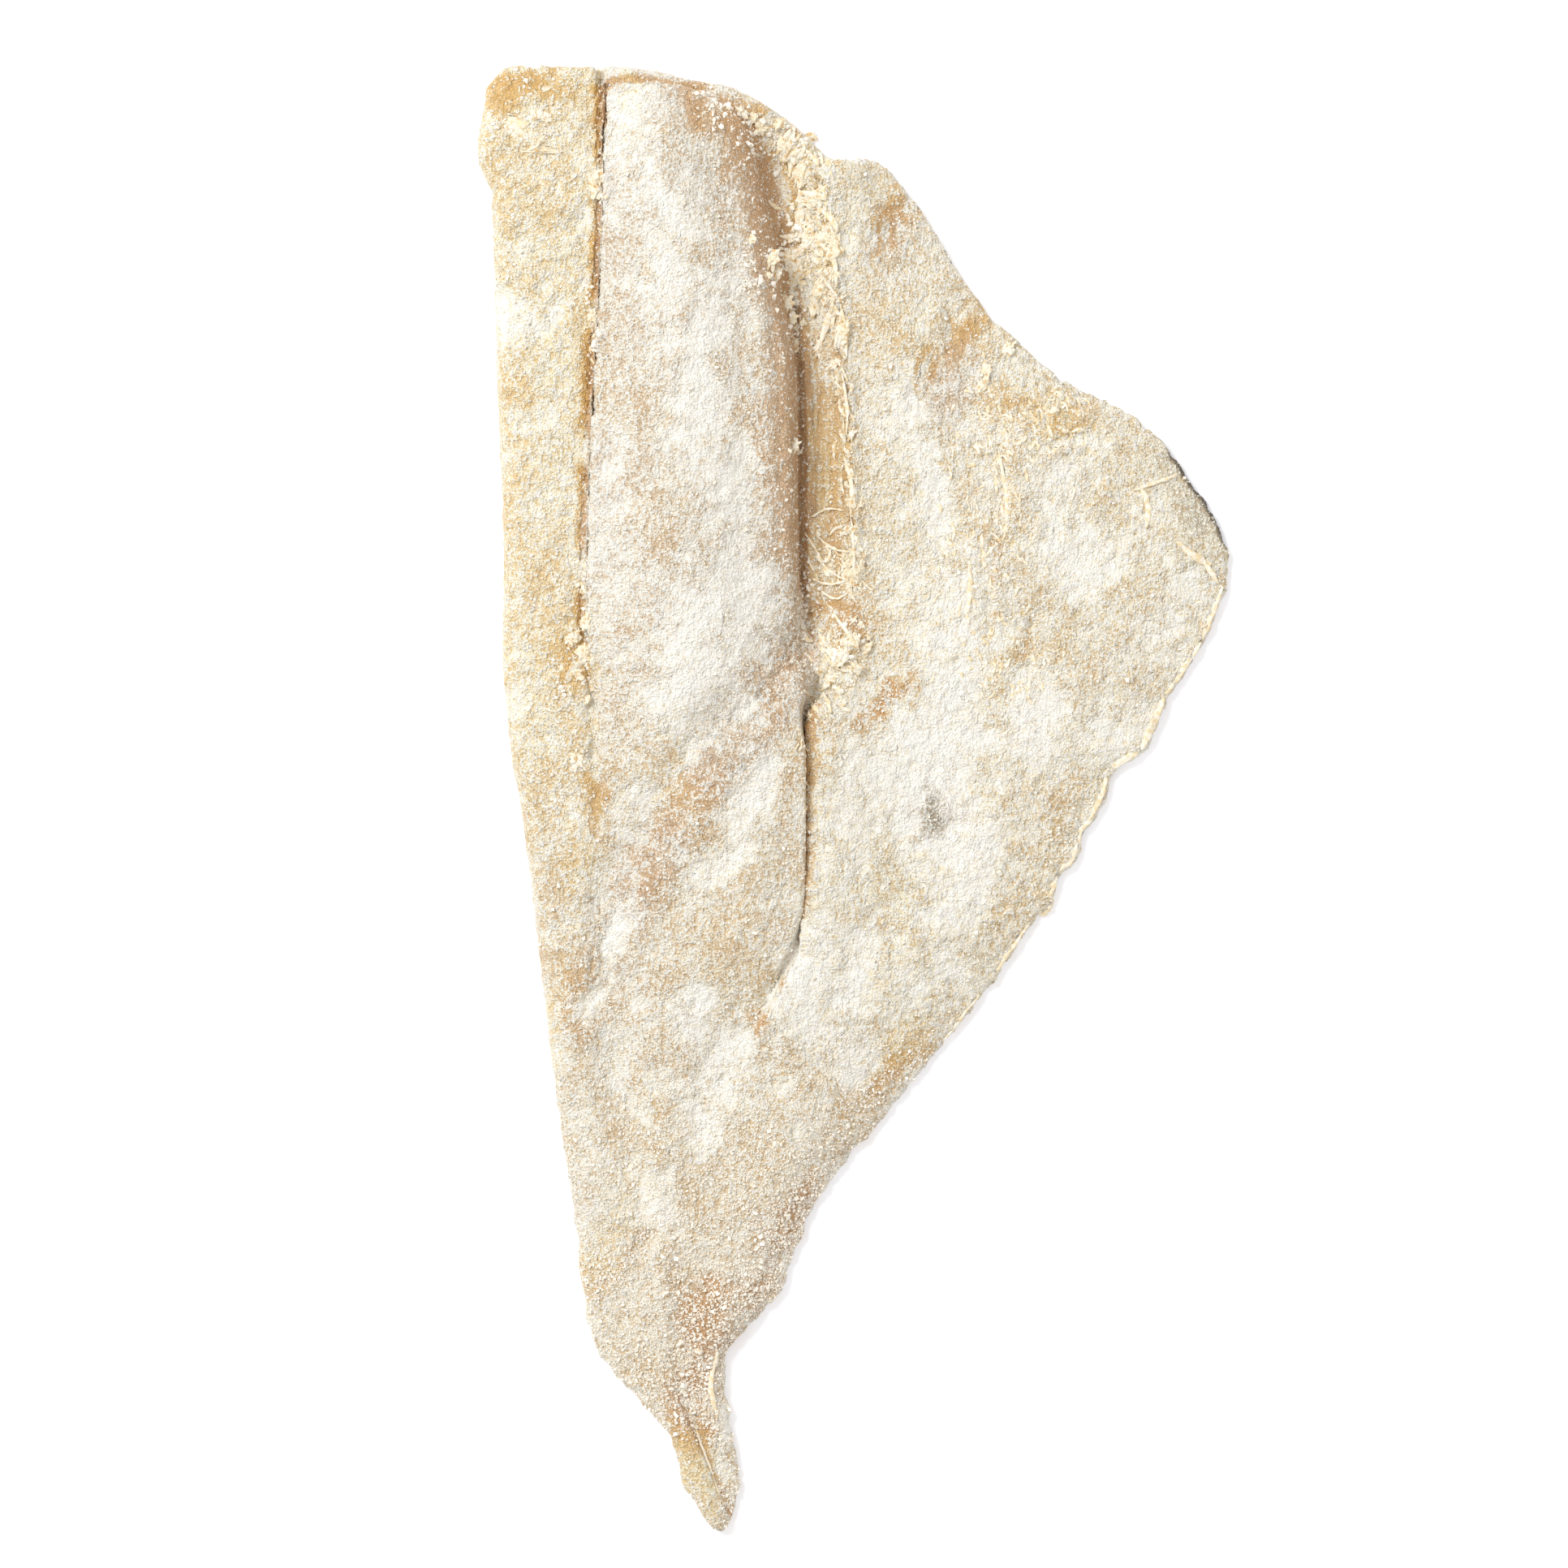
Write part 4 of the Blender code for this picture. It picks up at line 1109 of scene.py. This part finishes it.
# %% The shreds that stand out
SHREDS = (
    ((0.084, 0.425), (0.086, 0.445), (0.089, 0.462), 3.4, 1.1, 0.9),
    ((0.081, 0.424), (0.096, 0.428), (0.108, 0.426), 2.6, 1.0, 0.8),
    ((0.048, 0.402), (0.062, 0.412), (0.074, 0.41), 3.0, 0.9, 0.6),
    ((0.095, 0.452), (0.104, 0.47), (0.112, 0.474), 2.6, 0.8, 0.6),
    ((0.118, 0.452), (0.13, 0.47), (0.15, 0.474), 2.2, 0.8, 0.5),
    ((0.158, 0.47), (0.172, 0.462), (0.19, 0.45), 2.6, 0.8, 0.9),
    ((0.16, 0.478), (0.178, 0.486), (0.2, 0.486), 1.8, 0.7, 0.5),
    ((0.037, 0.036), (0.04, 0.055), (0.038, 0.068), 3.6, 1.0, 0.4),
    ((0.058, 0.06), (0.055, 0.08), (0.059, 0.1), 1.4, 0.7, 0.3),
    ((0.205, 0.48), (0.23, 0.488), (0.255, 0.486), 1.6, 0.7, 0.5),
    ((0.262, 0.482), (0.285, 0.494), (0.31, 0.492), 1.4, 0.7, 0.5),
    ((0.315, 0.43), (0.33, 0.448), (0.342, 0.462), 1.2, 0.6, 0.6),
    ((0.318, 0.446), (0.328, 0.47), (0.33, 0.494), 1.1, 0.6, 0.6),
    ((0.306, 0.44), (0.3, 0.462), (0.302, 0.486), 1.0, 0.6, 0.5),
    ((0.334, 0.448), (0.345, 0.47), (0.35, 0.492), 1.2, 0.6, 0.6),
    ((0.3, 0.492), (0.325, 0.496), (0.35, 0.498), 1.4, 0.7, 0.6),
    ((0.348, 0.44), (0.352, 0.462), (0.35, 0.486), 1.3, 0.7, 0.6),
    ((0.356, 0.452), (0.362, 0.472), (0.358, 0.49), 1.2, 0.6, 0.5),
    ((0.288, 0.868), (0.282, 0.9), (0.275, 0.938), 1.5, 0.8, 0.6),
    ((0.285, 0.88), (0.3, 0.89), (0.315, 0.886), 2.6, 0.5, 0.3),
    ((0.322, 0.925), (0.334, 0.955), (0.338, 0.975), 4.0, 0.5, 0.3),
    ((0.33, 0.955), (0.345, 0.975), (0.352, 0.985), 2.2, 0.5, 0.4),
    ((0.876, 0.316), (0.9, 0.306), (0.924, 0.316), 2.2, 0.7, 0.3),
    ((0.924, 0.283), (0.95, 0.3), (0.984, 0.325), 1.0, 0.8, 0.3),
    ((0.255, 0.415), (0.262, 0.424), (0.258, 0.43), 1.8, 0.8, 0.8),
    ((0.395, 0.452), (0.408, 0.47), (0.412, 0.49), 1.8, 0.8, 0.7),
    ((0.372, 0.47), (0.385, 0.488), (0.398, 0.505), 2.0, 0.8, 0.6),
    ((0.425, 0.455), (0.432, 0.462), (0.44, 0.466), 1.6, 0.8, 0.7),
    ((0.335, 0.65), (0.352, 0.652), (0.372, 0.648), 2.4, 0.8, 0.0),
    ((0.262, 0.69), (0.29, 0.7), (0.318, 0.7), 2.0, 0.7, 0.0),
)
RIM_FLAKES = (
    ((0.352, 0.995), (0.372, 0.985), (0.392, 0.968), 2.4),
    ((0.392, 0.966), (0.412, 0.944), (0.43, 0.926), 2.4),
    ((0.432, 0.92), (0.45, 0.902), (0.468, 0.885), 3.2),
    ((0.47, 0.882), (0.478, 0.868), (0.48, 0.85), 3.0),
    ((0.484, 0.836), (0.498, 0.822), (0.512, 0.808), 3.0),
    ((0.508, 0.812), (0.522, 0.806), (0.532, 0.8), 2.2),
    ((0.53, 0.792), (0.54, 0.786), (0.55, 0.774), 2.2),
    ((0.552, 0.77), (0.56, 0.764), (0.566, 0.752), 2.0),
    ((0.588, 0.742), (0.604, 0.722), (0.622, 0.702), 1.6),
    ((0.64, 0.68), (0.656, 0.658), (0.672, 0.638), 1.4),
)
HOOK = ((0.562, 0.752), (0.568, 0.762), (0.573, 0.757), (0.578, 0.748), (0.570, 0.742))
RING = ((0.326, 0.458), (0.330, 0.466), (0.336, 0.462), (0.336, 0.452), (0.330, 0.449))
bands = [band(row[:3], *row[3:], seed=number) for number, row in enumerate(SHREDS)]
rim_now = moved[rim_points]
present_rim = flat_tree(rim_now)


def on_rim(stop, inward):
    """The rim point nearest to a place, this far inside the outline, as shares."""
    number = present_rim.find((*place(*stop), 0))[1]
    out = facing[rim_points[number], :2]
    x, y = rim_now[number, :2] - inward * MM * out / np.linalg.norm(out)
    return (high.y - y) / LENGTH, (x - low.x) / WIDTH


for number, row in enumerate(RIM_FLAKES):
    stops = [on_rim(stop, 0.4 * row[3]) for stop in row[:3]]
    bands.append(band(stops, row[3], 0.6, 0.3, tail=0.4, seed=60 + number))
bands.append(band(HOOK, 2.4, 0.9, 0.6, seed=91))
bands.append(band(RING, 1.6, 0.9, 0.7, tail=0.6, seed=92))

# %% [markdown]
# Between those, hundreds of short fibres fray from the torn ledge, the flap and the rim. Their
# places are drawn at random along lines and within the roughest areas, always with one seed.

# %% Small fibres
fibre_rng = np.random.default_rng(5)
EDGE_HEIGHT = 1.2 * MM


def fibres(spots_at, heading, spread, length, width, rise):
    """Short bands at given places, headed in degrees from the tail direction towards the belly."""
    made = []
    for t, u in spots_at:
        turn = math.radians(heading + spread * fibre_rng.standard_normal())
        reach = length * MM * fibre_rng.uniform(0.5, 1.4) / 2
        dt, du = reach * math.cos(turn) / LENGTH, reach * math.sin(turn) / WIDTH
        bend = fibre_rng.normal(0, 0.25, 2)
        middle = (t + bend[0] * du, u + bend[1] * dt * LENGTH / WIDTH)
        start, end = (t - dt, u - du), (t + dt, u + du)
        if min(height_on(surface, *place(*stop)) for stop in (start, end)) <= EDGE_HEIGHT:
            continue
        size = width * fibre_rng.uniform(0.6, 1.4)
        seed = int(fibre_rng.integers(9999))
        made.append(band((start, middle, end), size, 0.5, rise, seed=seed))
    return made


def near_line(line, away, count):
    """Random places within a distance of a line, as shares."""
    picks = line[fibre_rng.integers(len(line), size=count)]
    picks = picks + fibre_rng.normal(0, away * MM, (count, 2))
    return np.stack([(high.y - picks[:, 1]) / LENGTH, (picks[:, 0] - low.x) / WIDTH], 1)


def around(t, u, reach, width, count):
    """Random places in an oval, as shares."""
    x, y = fibre_rng.normal(0, 0.5, (2, count))
    return np.stack([t + y * reach * MM / LENGTH, u + x * width * MM / WIDTH], 1)


bands += fibres(near_line(GUTTER_EDGE, 2.0, 60), 8, 25, 6, 1.5, 0.15)
bands += fibres(near_line(GROOVE, 1.0, 36), 0, 60, 2.6, 1.2, 0.1)
bands += fibres(near_line(CREASE[:20], 1.6, 16), 0, 30, 4.0, 0.8, 0.3)
bands += fibres(around(0.11, 0.435, 26, 8, 60), 10, 50, 4.5, 2.2, 0.2)
bands += fibres(around(0.335, 0.465, 10, 7, 22), 15, 40, 4, 1.0, 0.2)
bands += fibres(around(0.30, 0.69, 42, 18, 80), 8, 18, 5, 1.1, 0.05)
bands += fibres(around(0.245, 0.74, 14, 22, 60), 50, 35, 4, 1.2, 0.05)
bands += fibres(around(0.40, 0.475, 16, 8, 50), 20, 60, 3.5, 1.5, 0.15)
bands += fibres(around(0.40, 0.70, 20, 20, 50), 0, 40, 3.5, 1.2, 0.05)
shreds = banded("membrane_shreds", bands)
MEMBRANE = shade(245, 239, 224)
DRY_MEMBRANE = shade(236, 216, 176)
shred_finish = Finish("dry_membrane", 0.45)
veil = shred_finish.ease(shred_finish.grain(1.6 * MM, 3.0), 0.4, 0.62)
shred_finish.feed(Base_Color=shred_finish.mix(veil, MEMBRANE, DRY_MEMBRANE))
shred_finish.bump(shred_finish.grain(0.8 * MM, 2.0), 0.2 * MM)
shreds.data.materials.append(shred_finish.material)
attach(shreds, "root")

# %% [markdown]
# ## Torn flesh
# Where the nape and the ribs were cut away, small chunks of flesh hang loose: cream flakes as long
# as a fingernail, crumbled at their edges, and crumbs of them along the whole torn ledge. Each
# starts as a ball, which noise crumples before it is flattened and turned. A list gives the large
# ones; smaller ones are strewn beside them.

# %% Chunks
BALL_POINTS, BALL_FACES = (np.array(part) for part in ball(3, 1))
chunk_rng = np.random.default_rng(11)


def chunk(t, u, length, width, height, turn):
    """One crumpled flake, in mm; turn is in degrees from the tail direction towards the belly."""
    offset = chunk_rng.uniform(-9, 9, 3)
    bumps = np.array([noise.noise(p) for p in (BALL_POINTS * 1.6 + offset).tolist()])
    nicks = np.array([noise.noise(p) for p in (BALL_POINTS * 4.0 + offset).tolist()])
    ragged = 1.0 + 0.7 * bumps + 0.9 * nicks
    crumpled = 0.75 + 0.9 * np.abs(nicks) + 0.5 * bumps
    body = BALL_POINTS * np.stack([ragged, ragged, crumpled], 1)
    body *= np.array([width, length, height]) * MM / 2
    tilt = math.radians(chunk_rng.normal(0, 14))
    body[:, 2] += body[:, 0] * math.tan(tilt)
    angle = math.radians(turn)
    x, y = body[:, 0].copy(), body[:, 1].copy()
    body[:, 0] = x * math.cos(angle) + y * math.sin(angle)
    body[:, 1] = y * math.cos(angle) - x * math.sin(angle)
    middle = place(t, u)
    rest = height_on(surface, *middle)
    body += (*middle, rest + 0.12 * height * MM)
    body[:, 2] = np.maximum(body[:, 2], FLESH_FLOOR)
    return body


CHUNKS_AT = (
    (0.05, 0.408, 8, 5, 2.6, 30), (0.057, 0.418, 7, 6, 2.4, 60), (0.071, 0.428, 8, 4, 2.2, 10),
    (0.09, 0.443, 4, 10, 2.4, 10), (0.098, 0.425, 8, 3, 2.0, 5), (0.104, 0.44, 6, 3, 1.8, -20),
    (0.128, 0.412, 5, 5, 2.4, 0), (0.138, 0.42, 7, 5, 2.4, 20), (0.146, 0.412, 5, 4, 2.0, 60),
    (0.152, 0.453, 8, 5, 2.6, 20), (0.16, 0.447, 6, 4, 2.0, 0), (0.118, 0.437, 6, 4, 2.0, 40),
    (0.033, 0.362, 4, 3, 2.0, 40), (0.04, 0.373, 4, 4, 2.2, 0), (0.037, 0.398, 4, 3, 2.0, 60),
    (0.03, 0.346, 3, 4, 1.6, 20), (0.133, 0.386, 6, 4, 2.4, 30), (0.141, 0.392, 5, 4, 2.2, 20),
    (0.16, 0.405, 5, 4, 2.4, 20), (0.17, 0.413, 5, 4, 2.2, 10), (0.176, 0.42, 4, 3, 1.8, 30),
    (0.188, 0.418, 4, 3, 1.6, 0), (0.118, 0.36, 3, 3, 1.4, 0), (0.258, 0.416, 5, 3, 1.6, 30),
    (0.041, 0.05, 5, 8, 1.4, 15), (0.057, 0.08, 2, 10, 1.2, 5), (0.034, 0.085, 3, 6, 1.0, 20),
    (0.081, 0.156, 7, 4, 2.4, 0), (0.076, 0.16, 5, 3, 2.0, 20), (0.17, 0.152, 5, 3, 2.0, 0),
    (0.389, 0.125, 6, 4, 2.2, 20), (0.4, 0.14, 6, 5, 2.0, 0), (0.412, 0.128, 6, 5, 2.2, 30),
    (0.42, 0.148, 5, 4, 1.8, 0), (0.378, 0.142, 5, 3, 1.6, 10), (0.472, 0.13, 6, 5, 1.8, 0),
    (0.392, 0.494, 5, 4, 1.4, 60), (0.402, 0.48, 6, 4, 1.5, 20), (0.41, 0.5, 5, 3, 1.3, 70),
    (0.415, 0.466, 5, 3, 1.4, 20), (0.395, 0.512, 4, 3, 1.2, 50), (0.19, 0.452, 6, 3, 1.6, 20),
    (0.18, 0.482, 8, 4, 1.8, 12), (0.124, 0.47, 8, 4, 1.6, 15), (0.216, 0.668, 6, 3, 1.4, 30),
    (0.205, 0.672, 5, 3, 1.2, 20), (0.19, 0.7, 5, 4, 1.2, 60), (0.235, 0.76, 5, 3, 1.0, 50),
)
WITH_SMALLER = 44
CRUMBS = 70
FIRST_STOP = 8
flakes = [chunk(*row) for row in CHUNKS_AT]
for t, u, *size, _ in CHUNKS_AT[:WITH_SMALLER]:
    t, u = t + chunk_rng.normal(0, 0.008), u + chunk_rng.normal(0, 0.012)
    size = np.array(size) * chunk_rng.uniform(0.3, 0.55)
    flakes.append(chunk(t, u, *size, chunk_rng.uniform(0, 180)))
crumbs_at = GUTTER_EDGE[chunk_rng.integers(FIRST_STOP, len(GUTTER_EDGE), CRUMBS)]
for x, y in crumbs_at + chunk_rng.normal(0, 1.3 * MM, (CRUMBS, 2)):
    size = chunk_rng.uniform(1.5, 5), chunk_rng.uniform(1, 2.6), chunk_rng.uniform(0.8, 1.6)
    t, u = (high.y - y) / LENGTH, (x - low.x) / WIDTH
    flakes.append(chunk(t, u, *size, chunk_rng.normal(5, 30)))
numbers = BALL_FACES + len(BALL_POINTS) * np.arange(len(flakes))[:, None, None]
chunks = joined("torn_chunks", np.array(flakes), numbers)
TORN_CREAM = shade(238, 228, 202)
TORN_WHITE = shade(240, 235, 221)
TORN_SHADE = shade(216, 180, 124)
chunk_finish = Finish("torn_flesh", 0.6)
crumble = chunk_finish.grain(1.3 * MM, 3.0, Distortion=0.4)
patches = chunk_finish.ease(chunk_finish.grain(5 * MM, 2.0), 0.35, 0.65)
tone = chunk_finish.mix(patches, TORN_CREAM, TORN_WHITE)
# Painted shade: the chunk's hollows, where the bump sinks, are painted gold.
hollows = chunk_finish.ease(crumble, 0.50, 0.34)
chunk_finish.feed(Base_Color=chunk_finish.mix(hollows, tone, TORN_SHADE))
chunk_finish.bump(crumble, 0.5 * MM)
chunks.data.materials.append(chunk_finish.material)
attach(chunks, "root")
print(f"{len(flakes)} chunks, {len(flakes) * len(BALL_FACES)} triangles")

# %% [markdown]
# ## Skin
# The side lies on its skin, which shows only as a thin dark line where the flap's tip has curled
# back, and whole when the side is turned over. It is the flat underside of the even mesh, made
# 0.42 mm thick by Solidify, and pushed out from under the flesh at the tip.

# %% Skin sheet
SKIN_VOXEL = 2 * MM
SKIN_THICKNESS = 0.42 * MM
SKIN_INSET = 0.5 * MM
TIP_PEEK = 1.9 * MM
BELLY_HALF = 50 * MM
skin = remeshed("skin", SKIN_VOXEL, 3)
shape = bmesh.new()
shape.from_mesh(skin.data)
upper = [
    face for face in shape.faces
    if face.normal.z > FACING_DOWN or face.calc_center_median().z > 1 * MM
]
bmesh.ops.delete(shape, geom=upper, context="FACES")
shape.to_mesh(skin.data)
shape.free()
under_spots = vectors(skin.data.vertices, "co")
near, away = nearest_in(rim_tree, under_spots)
under_along = (high.y - under_spots[:, 1]) / LENGTH
peek = TIP_PEEK * ease(under_along, 0.235, 0.27) * ease(under_along, 0.335, 0.30)
peek *= under_spots[:, 0] > BELLY_HALF
reach = peek + push[rim_points][near] - SKIN_INSET
under_spots[:, :2] += rim_out[near] * (reach * ease(away, 8 * MM, 1 * MM))[:, None]
under_spots[:, 2] = 0.03 * MM + 0.04 * MM * (1 + blobs(under_spots, 12 * MM, 31))
skin.data.vertices.foreach_set("co", under_spots.ravel())
thicken = skin.modifiers.new("thickness", "SOLIDIFY")
thicken.thickness = SKIN_THICKNESS
thicken.offset = -1
skin.data.shade_smooth()
print(f"the skin has {len(skin.data.polygons)} faces")

# %% [markdown]
# Cod skin is grey-brown and mottled, with small scales and a dusting of salt. Cells make the
# scales, wide noise the mottling, and fine noise the salt.

# %% Skin finish
DARK_SKIN = shade(74, 66, 56)
PALE_SKIN = shade(142, 130, 108)
SCALE_RIM = shade(110, 100, 84)
SKIN_SALT = shade(222, 216, 202)
skin_finish = Finish("fish_skin", 0.55)
scales = skin_finish.cells(1.6 * MM)
marbling = skin_finish.grain(11 * MM, 4.0, Distortion=0.6)
dusting = skin_finish.ease(skin_finish.grain(1.2 * MM, 2.0) + marbling * 0.4, 0.72, 0.84)
skin_tone = skin_finish.mix(skin_finish.ease(marbling, 0.4, 0.6), DARK_SKIN, PALE_SKIN)
scale_rims = skin_finish.ease(scales, 0.0, 0.6) * 0.4
skin_tone = skin_finish.mix(scale_rims, skin_tone, SCALE_RIM)
skin_finish.feed(Base_Color=skin_finish.mix(dusting, skin_tone, SKIN_SALT))
skin_finish.feed(Roughness=dusting * 0.3 + 0.45)
skin_finish.bump(scales * 0.7 + marbling * 0.6 + dusting * 0.3, 0.4 * MM)
skin.data.materials.clear()
skin.data.materials.append(skin_finish.material)
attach(skin, "root")
